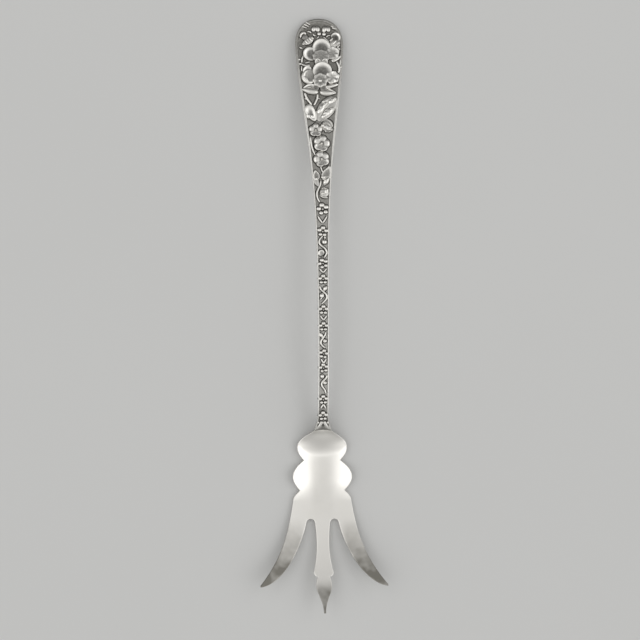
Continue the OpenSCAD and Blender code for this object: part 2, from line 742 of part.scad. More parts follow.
module stem_blossoms() {
    color(silver) for (k = repeats) for (d = [repeat_at(k), pair_mate_at(k)])
        on_panel(0, d) blossom(blossom_r(d), 0.8 * relief);
}

module stem_chevrons() {
    color(silver) for (k = repeats) {
        from_d = after_blossom(repeat_at(k));
        run = before_blossom(pair_mate_at(k)) - from_d;
        reach = 0.8 * blossom_r(from_d);
        on_panel(0, from_d) union() {
            stalk([-reach, 0], [0, -run], 0.7 * vine_w);
            stalk([reach, 0], [0, -run], 0.7 * vine_w);
        }
    }
}

vine_repeats = [for (k = repeats) if (k + 1 < len(repeats)) k];
function vine_from(k) = after_blossom(pair_mate_at(k));
function vine_chord(k) = (before_blossom(repeat_at(k + 1)) - vine_from(k) - ornament_gap) / 2;
function vine_reach(k) = blossom_r(repeat_at(k + 1)) - vine_w / 2;
vine_sagitta_share = 0.8;

module stem_vines() {
    w = 0.8 * vine_w;
    color(silver) for (k = vine_repeats) {
        chord = vine_chord(k);
        sagitta = vine_sagitta_share * vine_reach(k);
        on_panel(0, vine_from(k)) mirror([k % 2, 0, 0]) {
            bowed_stalk(chord, sagitta, w);
            translate([0, -chord - ornament_gap, 0]) mirror([1, 0, 0]) bowed_stalk(chord, sagitta, w);
        }
    }
}

// One bud in each bow of a vine
module stem_vine_buds() {
    color(silver) for (k = vine_repeats) for (half = [0, 1]) {
        d = vine_from(k) + vine_chord(k) * (half + 0.5) + ornament_gap * half;
        side = (k + half) % 2 == 0 ? 1 : -1;
        r = 0.42 * vine_reach(k);
        on_panel(side * (blossom_r(d) - r), d) above_panel(2 * r) boss(r, 0.6 * bead_h);
    }
}

module foot_leaves() {
    d = panel_end - ornament_gap;
    reach = panel_hw(leaves_from) - ornament_gap;
    w = 0.42 * reach;
    color(silver) for (side = [-1, 1]) {
        on_panel(side * (w / 2 + ornament_gap / 2), d, 0) leaf(foot_leaf_len, w, 0.6 * leaf_h, false);
        on_panel(side * 1.7 * w, d, side * 4) leaf(0.8 * foot_leaf_len, 0.8 * w, 0.6 * leaf_h, false);
    }
}

fork_head();
handle();
solder_seam();
tip_buds();
tip_leaves();
upper_rose();
rose_twigs();
lower_rose();
rose_sepals();
crossed_stalks();
leaf_spray();
blossom_trio();
trio_vine();
leaf_pair();
half_open_bud();
bud_vine();
stem_blossoms();
stem_chevrons();
stem_vines();
stem_vine_buds();
foot_leaves();
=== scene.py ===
"""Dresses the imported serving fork: worked silver surfaces on the CAD frame, studio light and a camera.

Sizes are millimetres in the fork's own terms until a mesh is made. On the handle a point has x across,
d from the round end towards the tines, and h above the sunk panel. On the head e runs from the shoulder.
"""

import logging
import math
from collections.abc import Callable
from dataclasses import astuple, dataclass
from enum import Enum
from itertools import product

import bpy
import numpy as np
from mathutils import Matrix, Vector


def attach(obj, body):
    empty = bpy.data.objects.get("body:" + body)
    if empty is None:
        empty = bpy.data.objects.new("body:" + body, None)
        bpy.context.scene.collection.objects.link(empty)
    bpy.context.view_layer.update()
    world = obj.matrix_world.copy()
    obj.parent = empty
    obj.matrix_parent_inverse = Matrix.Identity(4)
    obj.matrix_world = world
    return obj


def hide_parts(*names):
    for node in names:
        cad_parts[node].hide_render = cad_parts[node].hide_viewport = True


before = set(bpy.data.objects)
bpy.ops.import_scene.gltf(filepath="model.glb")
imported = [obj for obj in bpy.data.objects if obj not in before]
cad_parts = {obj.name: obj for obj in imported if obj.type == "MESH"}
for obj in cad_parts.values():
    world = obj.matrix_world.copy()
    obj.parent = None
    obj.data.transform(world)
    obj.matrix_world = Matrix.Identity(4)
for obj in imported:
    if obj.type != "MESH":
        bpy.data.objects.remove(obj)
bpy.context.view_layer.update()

Array = np.ndarray
Colour = tuple[float, float, float, float]
Spot = tuple[float, float]
Path = tuple[Spot, ...]
# An eased step's amount, its start and its run
Step = tuple[float, float, float]
# Places across and along, and distances from an edge
Grid = tuple[Array, Array, Array]

MM = 0.001
BODY = "root"
# Depth by which a motif's foot goes into the panel, and height of its dark outline above it, which is oxide
# in the corner and painted contact shade
SINK = 0.12
FOOT = 0.02
# Spread of its side wall, and the share of its height where oxide starts to give way, and over what share
LIP = 0.01
OXIDE_TO = 0.06
OXIDE_FADE = 0.5

log = logging.getLogger("serving_fork")


def ease(t: Array | float) -> Array:
    """Smooth step from 0 to 1: t squared times (3 - 2t), with t held between 0 and 1."""
    u = np.clip(t, 0.0, 1.0)
    return u * u * (3.0 - 2.0 * u)


def hump(u: Array, rise: float, fall: float) -> Array:
    """Product of powers u^rise (1-u)^fall, scaled so that its peak is 1.

    Args:
        u: Places from 0 to 1.
        rise: Power at the start; a small one gives a blunt start.
        fall: Power at the end.

    Returns:
        The hump's value at each place.
    """
    top = rise / (rise + fall)
    peak = top**rise * (1.0 - top) ** fall
    return u**rise * (1.0 - u) ** fall / peak


def smooth_path(points: Path, count: int) -> Array:
    """Catmull-Rom curve through the points, at even steps of its length.

    Args:
        points: Two or more places (x, d) that the curve goes through.
        count: Number of places on the curve.

    Returns:
        The places, one row each.
    """
    given = np.array(points, float)
    held = np.vstack([2 * given[0] - given[1], given, 2 * given[-1] - given[-2]])
    t = np.linspace(0.0, len(given) - 1.0, 40 * len(given))
    i = np.minimum(t.astype(int), len(given) - 2)
    f = (t - i)[:, None]
    a, b, c, e = held[i], held[i + 1], held[i + 2], held[i + 3]
    bend, twist = 2 * a - 5 * b + 4 * c - e, 3 * b - a - 3 * c + e
    curve = 0.5 * (2 * b + (c - a) * f + bend * f**2 + twist * f**3)
    run = np.concatenate([[0.0], np.cumsum(np.linalg.norm(np.diff(curve, axis=0), axis=1))])
    at = np.linspace(0.0, run[-1], count)
    return np.stack([np.interp(at, run, curve[:, 0]), np.interp(at, run, curve[:, 1])], axis=1)


def stepped(at: Array, base: float, steps: tuple[Step, ...]) -> Array:
    """A base value plus eased steps, each with its amount, its start and the run over which it comes.

    Args:
        at: Places along.
        base: Value before the first step.
        steps: The steps.

    Returns:
        The value at each place.
    """
    return base + sum(amount * ease((at - start) / run) for amount, start, run in steps)


def slowing(count: int) -> Array:
    """Places from 0 to 1 that crowd towards 1: the sine of even steps of a quarter turn."""
    return np.sin(0.5 * np.pi * np.arange(count + 1) / count)


def crowding(count: int) -> Array:
    """Places from 0 to 1 that crowd towards both ends: half of 1 less the cosine over a half turn."""
    return 0.5 * (1.0 - np.cos(np.pi * np.arange(count + 1) / count))


def both_sides(half: Array) -> Array:
    """Places from 0 out, with their mirror images before them."""
    return np.concatenate([-half[:0:-1], half])


def grid_faces(rows: int, columns: int, closed: bool = False) -> Array:
    """Quads of a grid of points.

    Args:
        rows: Number of rows of points.
        columns: Points in each row.
        closed: Whether each row closes on itself.

    Returns:
        One row of four point numbers for each quad.
    """
    i, j = np.meshgrid(np.arange(rows - 1), np.arange(columns if closed else columns - 1), indexing="ij")
    k = (j + 1) % columns
    quads = [i * columns + j, i * columns + k, (i + 1) * columns + k, (i + 1) * columns + j]
    return np.stack(quads, axis=-1).reshape(-1, 4)


def fan(hub: int, rim: Array) -> Array:
    """Triangles from a hub to each two neighbours on a rim of point numbers."""
    return np.stack([np.full(len(rim) - 1, hub), rim[1:], rim[:-1]], axis=1)


@dataclass
class Shell:
    """A closed skin: points, four-cornered and three-cornered faces, and each point's brightness."""

    points: Array
    quads: Array
    tris: Array
    tone: Array

    @staticmethod
    def joined(shells: list["Shell"]) -> "Shell":
        """Put several shells into one.

        Args:
            shells: Shells in the same coordinates.

        Returns:
            One shell that holds them all.
        """
        starts = np.cumsum([0] + [len(s.points) for s in shells])
        return Shell(
            np.concatenate([s.points for s in shells]),
            np.concatenate([s.quads + n for s, n in zip(shells, starts)]),
            np.concatenate([s.tris + n for s, n in zip(shells, starts)]),
            np.concatenate([s.tone for s in shells]),
        )

    @staticmethod
    def plate(upper: Array, lower: Array, quads: Array, tone: Array) -> "Shell":
        """Close two sheets with a wall along each edge that belongs to one quad alone.

        Args:
            upper: Points of the upper sheet.
            lower: Points of the lower sheet, one under each of those.
            quads: Quads of the upper sheet.
            tone: Brightness of each pair of points.

        Returns:
            The plate, faces out.
        """
        count = len(upper)
        edges = np.concatenate([quads[:, [k, (k + 1) % 4]] for k in range(4)])
        shared = np.isin(edges @ np.array([count, 1]), edges @ np.array([1, count]))
        a, b = edges[~shared].T
        wall = np.stack([a, a + count, b + count, b], axis=1)
        faces = np.concatenate([quads, quads[:, ::-1] + count, wall])
        points = np.concatenate([upper, lower])
        return Shell(points, faces, np.zeros((0, 3), int), np.tile(tone, 2)).outward()

    @property
    def corners(self) -> Array:
        """Point numbers of the triangles that make up the faces."""
        return np.concatenate([self.quads[:, [0, 1, 2]], self.quads[:, [0, 2, 3]], self.tris])

    def welded(self) -> "Shell":
        """Merge points that lie within a ten-thousandth of a millimetre, and drop faces that close up.

        Returns:
            The shell with each place held once; a quad with a merged corner becomes a triangle.
        """
        _, first, back = np.unique(np.round(self.points, 4), axis=0, return_index=True, return_inverse=True)
        back = back.ravel()
        quads = back[self.quads]
        same = quads == np.roll(quads, -1, axis=1)
        lost = same.sum(axis=1)
        at = same[lost == 1].argmax(axis=1)
        turned = np.take_along_axis(quads[lost == 1], (at[:, None] + np.arange(1, 5)) % 4, axis=1)
        tris = np.concatenate([back[self.tris], turned[:, :3]])
        flat = (tris == np.roll(tris, -1, axis=1)).any(axis=1)
        return Shell(self.points[first], quads[lost == 0], tris[~flat], self.tone[first])

    def outward(self) -> "Shell":
        """Turn the faces over if the volume that they enclose comes out negative.

        Returns:
            The shell with its faces pointing out.
        """
        a, b, c = self.points[self.corners.T]
        if np.einsum("ij,ij->", a, np.cross(b, c)) >= 0:
            return self
        return Shell(self.points, self.quads[:, ::-1], self.tris[:, ::-1], self.tone)

    def facing_up(self) -> Array:
        """Upward part of each point's normal, which is the sum of the cross products round it.

        Returns:
            1 where the skin faces up, 0 where it is a wall, and less than 0 underneath.
        """
        a, b, c = self.points[self.corners.T]
        face = np.cross(b - a, c - a)
        total = np.zeros_like(self.points)
        for corner in self.corners.T:
            np.add.at(total, corner, face)
        return total[:, 2] / np.maximum(np.linalg.norm(total, axis=1), 1e-12)

    def mesh_object(self, name: str) -> bpy.types.Object:
        """Make a smooth-shaded Blender object, with the brightness as the point attribute "tone".

        Args:
            name: The piece's name.

        Returns:
            The object, at the origin, with its place in its mesh.
        """
        mesh = bpy.data.meshes.new(name)
        corners = np.concatenate([self.quads.ravel(), self.tris.ravel()])
        fours, threes = len(self.quads), len(self.tris)
        starts = np.concatenate([np.arange(fours) * 4, fours * 4 + np.arange(threes) * 3])
        mesh.vertices.add(len(self.points))
        mesh.vertices.foreach_set("co", (self.points * MM).astype(np.float32).ravel())
        mesh.loops.add(len(corners))
        mesh.loops.foreach_set("vertex_index", corners.astype(np.int32))
        mesh.polygons.add(len(starts))
        mesh.polygons.foreach_set("loop_start", starts.astype(np.int32))
        mesh.update(calc_edges=True)
        mesh.validate()
        mesh.shade_smooth()
        tone = mesh.attributes.new("tone", "FLOAT", "POINT")
        tone.data.foreach_set("value", self.tone.astype(np.float32))
        piece = bpy.data.objects.new(name, mesh)
        bpy.context.scene.collection.objects.link(piece)
        return piece


def wiped(h: Array, top: float) -> Array:
    """Brightness of a motif by its height: oxide at the foot, wiped bright from about half way up."""
    return ease((h / top - OXIDE_TO) / OXIDE_FADE)


class Section(Enum):
    """Shape of a ribbon across its path."""

    ROUND = "round"
    LEAF = "leaf"
    BOAT = "boat"


@dataclass(frozen=True)
class Ribbon:
    """A motif carried along a path: stalk, vine, stroke, curl or leaf."""

    path: Path
    half_width: float
    height: float
    section: Section = Section.ROUND
    start: float = 0.14
    end: float = 0.14
    groove: float = 0.0
    shine: float = 1.0
    skirt: float = 0.22
    stations: int = 26
    columns: int = 13
    hollow: float = 0.4

    def profile(self, u: Array, v: Array) -> Array:
        """Height across and along, from 0 at the edges to about 1.

        A round section is half an ellipse. A leaf is a flatter superellipse less a bell-shaped midrib groove.
        A boat has its rim near the edge and dips between.

        Args:
            u: Place along the path, from 0 to 1, as a column.
            v: Place across, from -1 to 1, as a row.

        Returns:
            The height at each place.
        """
        if self.section is Section.ROUND:
            return np.sqrt(1.0 - v * v) * np.ones_like(u)
        if self.section is Section.BOAT:
            dip = self.hollow * ease(u / 0.2) * ease((0.8 - np.abs(v)) / 0.65)
            return np.sqrt(1.0 - v**10) * (1.0 - dip)
        edge = (1.0 - np.abs(v) ** 2.8) ** (1 / 2.2)
        return edge * (1.0 - self.groove * np.exp(-((v / 0.14) ** 2)) * hump(u, 0.2, 0.35))

    def shell(self) -> Shell:
        """Carry the section along the path, with pointed ends and a flat foot below the panel.

        A low skirt runs round the foot, dark with oxide in the corner and with painted contact shade.

        Returns:
            The shell in panel coordinates.
        """
        curve = smooth_path(self.path, self.stations + 2)
        along = np.gradient(curve, axis=0)
        along /= np.linalg.norm(along, axis=1)[:, None]
        side = np.stack([-along[:, 1], along[:, 0]], axis=1)[1:-1]
        u = np.linspace(0.0, 1.0, self.stations + 2)[1:-1, None]
        v = -np.cos(np.pi * np.arange(self.columns) / (self.columns - 1))[None, :]
        taper = hump(u, self.start, self.end)
        rise = self.height * taper**0.45
        edge = np.ones_like(u)
        h = FOOT + (rise - FOOT) * self.profile(u, v)
        h = np.concatenate([-SINK * edge, FOOT * edge, h, FOOT * edge, -SINK * edge], axis=1)
        out = taper * self.half_width + self.skirt * hump(u, 0.2, 0.2)
        off = np.concatenate([-out - LIP, -out, v * taper * self.half_width, out, out + LIP], axis=1)
        flat = curve[1:-1, None, :] + off[..., None] * side[:, None, :]
        n, m = h.shape
        first, last, tail = n * m, n * m + 1, (n - 1) * m
        row = np.arange(m)
        heads = m * np.arange(n - 1)
        under = np.array([[first, 0, m - 1], [last, tail + m - 1, tail]])
        foot = np.stack([heads, heads + m, heads + 2 * m - 1, heads + m - 1], axis=1)
        ends = np.array([[*curve[0], -SINK], [*curve[-1], -SINK]])
        points = np.concatenate([np.concatenate([flat, h[..., None]], axis=2).reshape(-1, 3), ends])
        quads = np.concatenate([grid_faces(n, m), foot])
        tris = np.concatenate([fan(first, row), fan(last, tail + row[::-1]), under])
        return Shell(points, quads, tris, self.shine * wiped(points[:, 2], self.height))


@dataclass(frozen=True)
class Scoop:
    """Hollow of a petal: its share of the height, where the rim is, how late it rises, and its low side."""

    hollow: float
    rim_at: float = 0.86
    sharp: float = 0.6
    low_side: float = 0.5


@dataclass(frozen=True)
class Waves:
    """Waves of a petal: number and depth of ruffles in its outline, and of creases in its height."""

    ruffles: float = 0.0
    ruffle_depth: float = 0.0
    creases: float = 0.0
    crease_depth: float = 0.0


@dataclass(frozen=True)
class Light:
    """Brightness of a petal: shade of its unlit part, where the lit part starts and over what run, and shine.

    The flank setting paints shade on the two sides of a petal, beside its line of facing, in the clefts
    between neighbours.
    """

    shade: float = 0.0
    lit_from: float = 0.2
    lit_run: float = 0.5
    shine: float = 1.0
    flank_shade: float = 0.0


@dataclass(frozen=True)
class Petal:
    """A scoop with a raised outer rim, or a dome where it has no scoop.

    facing is the way the rim stands, in degrees: 0 to the round end, 90 to the right. egg narrows the end
    away from it, and point the end towards it.
    """

    x: float
    d: float
    reach: float
    breadth: float
    height: float
    facing: float = 0.0
    scoop: Scoop | None = None
    light: Light = Light()
    waves: Waves = Waves()
    egg: float = 0.0
    point: float = 0.0
    swell: float = 2.0
    skirt: float = 0.22
    rings: int = 14
    spokes: int = 44

    def heights(self, rho: Array, outer: Array) -> tuple[Array, float]:
        """Height of the skin over the petal.

        A dome is the height times the root of (1 - rho to the swell). A scoop eases from its hollow up to a
        rim and drops from there as a quarter ellipse; the rim sinks on the side away from facing.

        Args:
            rho: Distance from the middle, 1 at the outline, as a column.
            outer: 1 on the side of facing, 0 on the other, as a row.

        Returns:
            The heights, and the height in the middle.
        """
        if self.scoop is None:
            bulge = np.sqrt(np.clip(1.0 - rho**self.swell, 0.0, 1.0))
            return FOOT + (self.height - FOOT) * bulge * np.ones_like(outer), self.height
        hollow, rim_at, sharp, low = astuple(self.scoop)
        floor = self.height * (1.0 - hollow)
        rim = np.maximum(self.height * (low + (1.0 - low) * outer**0.6), 0.6 * floor)
        part = np.minimum(rho / rim_at, 1.0)
        inside = floor + (rim - floor) * (sharp * part**2.2 + (1.0 - sharp) * ease(part))
        fall = np.clip((rho - rim_at) / (1.0 - rim_at), 0.0, 1.0)
        outside = FOOT + (rim - FOOT) * np.sqrt(1.0 - fall**2)
        return np.where(rho < rim_at, inside, outside), floor

    def brightness(self, rho: Array, angle: Array, outer: Array) -> Array:
        """Painted light over the petal: shaded up to where it is lit, and darker on its flanks with painted
        shade in the clefts.

        Args:
            rho: Distance from the middle, as a column.
            angle: Angle from the line of facing, as a row.
            outer: 1 on the side of facing, 0 on the other, as a row.

        Returns:
            One value for each point of the grid, and for the two poles.
        """
        lit = 0.5 + 0.5 * rho * np.cos(angle)
        if self.scoop is not None:
            lit = rho * (1.0 - 0.8 * (1.0 - self.scoop.low_side) * (1.0 - outer))
        lit = np.append(lit, [lit[0].mean(), 0.0])
        dim = 1.0 - self.light.shade * (1.0 - ease((lit - self.light.lit_from) / self.light.lit_run))
        # Painted shade on the flanks, in the clefts between neighbouring petals
        flank_shade_mask = ease((rho * np.abs(np.sin(angle)) - 0.46) / 0.2)
        flank_shade_mask = flank_shade_mask * (1.0 - 0.75 * ease((rho * np.cos(angle)) / 0.6))
        return self.light.shine * dim * (1.0 - self.light.flank_shade * np.append(flank_shade_mask, [0.0, 0.0]))

    def shell(self) -> Shell:
        """Work out the petal on rings and spokes; ruffles are waves in its outline, creases in its height.

        Returns:
            The shell in panel coordinates.
        """
        rho = np.sin(0.5 * np.pi * np.minimum(np.arange(1, self.rings + 3) / self.rings, 1.0))[:, None]
        grow = np.concatenate([np.zeros(self.rings), [self.skirt, self.skirt + LIP]])[:, None]
        angle = 2 * np.pi * np.arange(self.spokes)[None, :] / self.spokes
        turn = math.radians(self.facing)
        ahead = np.array([math.sin(turn), -math.cos(turn)])
        aside = np.array([math.cos(turn), math.sin(turn)])
        wave = 1.0 + self.waves.ruffle_depth * np.cos(self.waves.ruffles * angle) * ease(rho)
        outer = 0.5 + 0.5 * np.cos(angle)
        narrow = (1.0 - self.egg * (1.0 - outer)) * (1.0 - self.point * outer**2)
        out = rho * wave * np.cos(angle) * (self.reach + grow)
        off = rho * wave * np.sin(angle) * narrow * (self.breadth + grow)
        flat = np.array([self.x, self.d]) + out[..., None] * ahead + off[..., None] * aside
        h, top = self.heights(rho, outer)
        band = ease((rho - 0.25) / 0.3) * (1.0 - ease((rho - 0.82) / 0.18))
        h = h + self.waves.crease_depth * np.cos(self.waves.creases * angle) * band
        h[self.rings - 1 : self.rings + 1] = FOOT
        h[-1] = -SINK
        n, m = h.shape
        ring = np.arange(m + 1) % m
        poles = np.array([[self.x, self.d, top], [self.x, self.d, -SINK]])
        points = np.concatenate([np.concatenate([flat, h[..., None]], axis=2).reshape(-1, 3), poles])
        tris = np.concatenate([fan(n * m, ring), fan(n * m + 1, (n - 1) * m + ring[::-1])])
        tone = self.brightness(rho, angle, outer) * wiped(points[:, 2], self.height)
        return Shell(points, grid_faces(n, m, closed=True), tris, tone).outward()


Motif = Ribbon | Petal


@dataclass(frozen=True)
class Blossom:
    """Petals in a ring round a bead, all at one place on the panel; the lower ones are scooped."""

    x: float
    d: float
    radius: float
    height: float
    turn: float = 0.0
    petals: int = 5
    petal_share: float = 0.48
    plump: float = 1.13
    bead_share: float = 0.18
    low_from: float = 0.6
    low_scoop: Scoop = Scoop(0.35, 0.76, 0.2, 0.4)
    low_light: Light = Light(0.5, 0.1, 0.36, flank_shade=0.6)
    high_light: Light = Light(0.82, 0.1, 0.36, flank_shade=0.6)

    def motifs(self) -> list[Motif]:
        """Place the petals at even angles and the bead in the middle.

        Returns:
            The petals and the bead.
        """
        made: list[Motif] = []
        reach = self.radius * self.petal_share
        out = self.radius * (1.0 - self.petal_share * 0.95)
        for i in range(self.petals):
            angle = self.turn + 360.0 * i / self.petals
            across, along = math.sin(math.radians(angle)), math.cos(math.radians(angle))
            low = 0.5 - 0.5 * along > self.low_from
            petal = Petal(
                self.x + out * across,
                self.d - out * along,
                reach,
                reach * self.plump,
                self.height * (0.96 + 0.04 * (i % 2)),
                angle,
                self.low_scoop if low else None,
                self.low_light if low else self.high_light,
                swell=3.2,
                skirt=0.26,
                rings=12,
                spokes=34,
            )
            made.append(petal)
        bead = self.radius * self.bead_share
        top = 1.05 * self.height
        made.append(Petal(self.x, self.d, bead, bead, top, swell=3.0, skirt=0.1, rings=8, spokes=20))
        return made


@dataclass(frozen=True)
class Handle:
    """The bent handle plate: its plan, its arc and the seat that it gives each motif."""

    overall_len: float = 229.2
    handle_len: float = 159.0
    end_w: float = 18.8
    end_len: float = 11.2
    end_power: float = 2.3
    taper_len: float = 46.0
    taper_power: float = 1.9
    stem_w: float = 4.1
    shoulder_w: float = 6.8
    flare_len: float = 7.0
    end_t: float = 1.5
    stem_t: float = 2.4
    border_w: float = 1.15
    stem_border: float = 0.62
    border_h: float = 0.45
    foot_plain: float = 2.2
    foot_notch: float = 1.5
    crest_z: float = 12.2
    neck_len: float = 44.0
    shoulder_z: float = 6.2
    worn_flat: float = 0.15
    lap_len: float = 6.5
    solder_t: float = 0.1
    # Notch of the foot: its half width as a share of the shoulder's width, and the power of its sides
    notch_share: float = 0.46
    notch_power: float = 1.4
    # Share of the spare width over which the border broadens, of the foot over which the ground comes up,
    # and of the border's height at which the side starts
    border_grow: float = 0.3
    foot_rise: float = 0.45
    side_h: float = 0.2
    # Power of the back's round section on the stem, and what the broad end adds to it
    stem_back: float = 2.4
    wide_back: float = 2.6
    # Rows of the loft are close up to here
    dense_to: float = 96.0
    # Section of the border: places from its outer edge, as shares of its width, and heights
    ridge_in: tuple[float, ...] = (1.0, 0.94, 0.85, 0.74, 0.6, 0.44, 0.28, 0.13, 0.04, 0.0)
    ridge_h: tuple[float, ...] = (0.0, 0.22, 0.5, 0.76, 0.93, 1.0, 1.0, 0.92, 0.7, 0.3)
    # Brightness of the border's crest and edge, of the ground and of the back, with steps along the handle
    crest_tone: float = 0.06
    crest_steps: tuple[Step, ...] = ((0.5, 8.0, 30.0), (0.05, 70.0, 12.0), (-0.31, 148.0, 6.0))
    edge_tone: float = 0.12
    ground_tone: float = 0.06
    ground_steps: tuple[Step, ...] = (
        (-0.04, 1.0, 4.0),
        (0.13, 27.0, 16.0),
        (0.14, 70.0, 15.0),
        (-0.2, 146.0, 6.0),
    )
    back_tone: float = 0.95
    # Brightness of the foot, and where its dark end starts and over what run, from the shoulder back
    foot_tone: float = 0.4
    foot_shade: Spot = (0.55, 0.4)

    @property
    def crest_d(self) -> float:
        """Distance of the arc's crest from the round end."""
        return self.handle_len - self.neck_len

    @staticmethod
    def arc_radius(run: float, drop: float) -> float:
        """Radius of an arc that drops so far over a run from its crest."""
        return (run * run + drop * drop) / (2.0 * drop)

    def y_at(self, d: Array | float) -> Array | float:
        """Turn a distance from the round end into Y."""
        return self.overall_len / 2.0 - d

    def arc(self, d: Array) -> tuple[Array, Array]:
        """Run from the crest and radius of the panel's arc there.

        Args:
            d: Distances from the round end.

        Returns:
            The runs and the radii.
        """
        end_z = self.end_t - self.worn_flat
        long_r = self.arc_radius(self.crest_d, self.crest_z - end_z)
        neck_r = self.arc_radius(self.neck_len, self.crest_z - self.shoulder_z)
        run = np.asarray(d, float) - self.crest_d
        return run, np.where(run < 0, long_r, neck_r)

    def panel_z(self, d: Array) -> Array:
        """Height of the sunk panel: the crest less the sagitta of its arc."""
        run, r = self.arc(d)
        return self.crest_z - r + np.sqrt(r * r - run * run)

    def back_z(self, d: Array) -> Array:
        """Height of the back: an arc that thins towards the round end, cut by the table and the lap joint.

        Args:
            d: Distances from the round end.

        Returns:
            The heights.
        """
        run, r = self.arc(d)
        rise = self.crest_z - self.stem_t + self.worn_flat
        back_r = np.where(run < 0, self.arc_radius(self.crest_d, rise), r - self.stem_t)
        z = self.crest_z - self.stem_t - back_r + np.sqrt(back_r * back_r - run * run)
        top, end = self.lap_z()
        lap = top + self.solder_t + (end - top) * (self.handle_len - np.asarray(d)) / self.lap_len
        return np.maximum(np.maximum(z, 0.0), np.where(run > 0, lap, 0.0))

    def lap_z(self) -> tuple[float, float]:
        """Heights of the lap joint at the shoulder and at its far end."""
        top = float(self.panel_z(np.array(self.handle_len))) - self.solder_t
        return top, float(self.panel_z(np.array(self.handle_len - self.lap_len))) - self.stem_t

    def half_w(self, d: Array) -> Array:
        """Half width: a bell-curve taper, a superellipse round end and a flared foot.

        Args:
            d: Distances from the round end.

        Returns:
            The half widths.
        """
        d = np.asarray(d, float)
        inward = np.clip(1.0 - d / self.end_len, 0.0, 1.0)
        tip = (1.0 - inward**self.end_power) ** (1.0 / self.end_power)
        bell = np.exp(-((np.maximum(0.0, d - self.end_len / 2.0) / self.taper_len) ** self.taper_power))
        foot = (np.maximum(0.0, d - self.handle_len + self.flare_len) / self.flare_len) ** 2
        stem = (self.stem_w + (self.end_w - self.stem_w) * bell) / 2.0 * tip
        return stem + (self.shoulder_w - self.stem_w) / 2.0 * foot

    def seat(self, shell: Shell) -> Shell:
        """Move a shell from panel coordinates onto the bent handle.

        A point goes to (x, y of d, panel height) plus h along the panel's normal, which leans by the slope.

        Args:
            shell: Points as x, d, h.

        Returns:
            The same shell in the part's frame, faces out.
        """
        x, d, h = shell.points.T
        run, r = self.arc(d)
        lean = -run / r
        y = self.y_at(d) + h * lean
        z = self.panel_z(d) + h * np.sqrt(1.0 - lean * lean)
        return Shell(np.stack([x, y, z], axis=1), shell.quads, shell.tris, shell.tone).outward()

    def notch(self, out: Array) -> Array:
        """Depth of the foot's notch, at a distance from the axis as a share of the shoulder's width."""
        return self.foot_notch * np.clip(1.0 - out / self.notch_share, 0.0, 1.0) ** self.notch_power

    def shell(self) -> Shell:
        """Loft the plate from closed loops: ground, half-round border, rounded side and back.

        Each loop point has a share q of the half width and a height. On the round end the loops shrink
        towards its centre: the inset (1-q) of the full width moves a point in by as much along the handle.

        Returns:
            The shell in the part's frame.
        """
        flare_d = self.handle_len - self.flare_len
        tip = self.end_len * (1.0 - np.cos(0.5 * np.pi * np.arange(30) / 30.0))
        body = np.linspace(self.end_len, self.dense_to, 86)
        stem = np.linspace(self.dense_to, flare_d, 50)[1:]
        s = np.concatenate([tip, body, stem, np.linspace(flare_d, self.handle_len, 36)[1:]])[:, None]
        many = np.ones_like(s)
        full = np.where(s < self.end_len, self.half_w(np.array(self.end_len)), self.half_w(s))
        wider = full - self.stem_w / 2
        spare = self.end_w - self.stem_w
        broad = ease(wider / (self.border_grow * spare))
        border = self.stem_border + (self.border_w - self.stem_border) * broad
        share = border / full
        ground = np.linspace(0.0, 1.0, 12)[None, :-1]
        ridge_in, ridge_h = (np.array(row)[None, :] for row in (self.ridge_in, self.ridge_h))
        sweep = 0.5 * np.pi * np.arange(1, 15)[None, :] / 14.0
        # The back is flatter where the plate is wide
        power = self.stem_back + self.wide_back * ease(2.0 * wider / spare)
        back_q = np.clip(np.cos(sweep), 0.0, 1.0) ** (2.0 / power)
        back_f = np.sin(sweep) ** (2.0 / power)
        q = np.concatenate([ground * (1.0 - share), 1.0 - ridge_in * share, back_q], axis=1)
        inset = (1.0 - q) * full
        d = np.where(s < self.end_len, inset + s * (1.0 - inset / self.end_len), s)
        x = q * self.half_w(s)
        # Past foot_at the ground comes up to the border, and its end is notched
        foot_at = self.handle_len - self.foot_plain
        closing = ease((d - foot_at) / (self.foot_rise * self.foot_plain))
        grounds, ridges = ground.shape[1], ridge_in.shape[1]
        closing[:, grounds + ridges - 4 :] = 0.0
        level = np.zeros((len(s), grounds))
        over = np.concatenate([level, ridge_h * many, self.side_h * (1.0 - back_f)], axis=1)
        over = over + (1.0 - over) * closing
        z_top = self.panel_z(d) + over * self.border_h
        drop = np.concatenate([level, 0.0 * ridge_h * many, back_f], axis=1)
        z = z_top + (self.back_z(d) - z_top) * drop
        d = d - self.notch(np.abs(x) / self.shoulder_w) * ease((s - foot_at) / self.foot_plain)
        dark = stepped(d[:, :grounds], self.ground_tone, self.ground_steps)
        crest = self.edge_tone + stepped(s, self.crest_tone, self.crest_steps) * ridge_h
        tone = np.concatenate([dark, crest, self.back_tone + 0.0 * back_f], axis=1)
        last = s - self.handle_len + self.foot_shade[0]
        foot_tone = self.foot_tone * ease((np.abs(x) - 0.1) / 0.6) * (1.0 - ease(last / self.foot_shade[1]))
        tone = tone + (foot_tone - tone) * closing
        right = np.stack([x, self.y_at(d), z], axis=2)
        left = right[:, -2:0:-1] * np.array([-1.0, 1.0, 1.0])
        loops = np.concatenate([right, left], axis=1)
        tones = np.concatenate([tone, tone[:, -2:0:-1]], axis=1)
        n, m = loops.shape[:2]
        ring = (n - 1) * m + np.arange(m + 1) % m
        points = np.concatenate([loops.reshape(-1, 3), loops[-1].mean(axis=0)[None, :]])
        tones = np.append(tones, self.foot_tone)
        return Shell(points, grid_faces(n, m, closed=True), fan(n * m, ring[::-1]), tones).welded().outward()


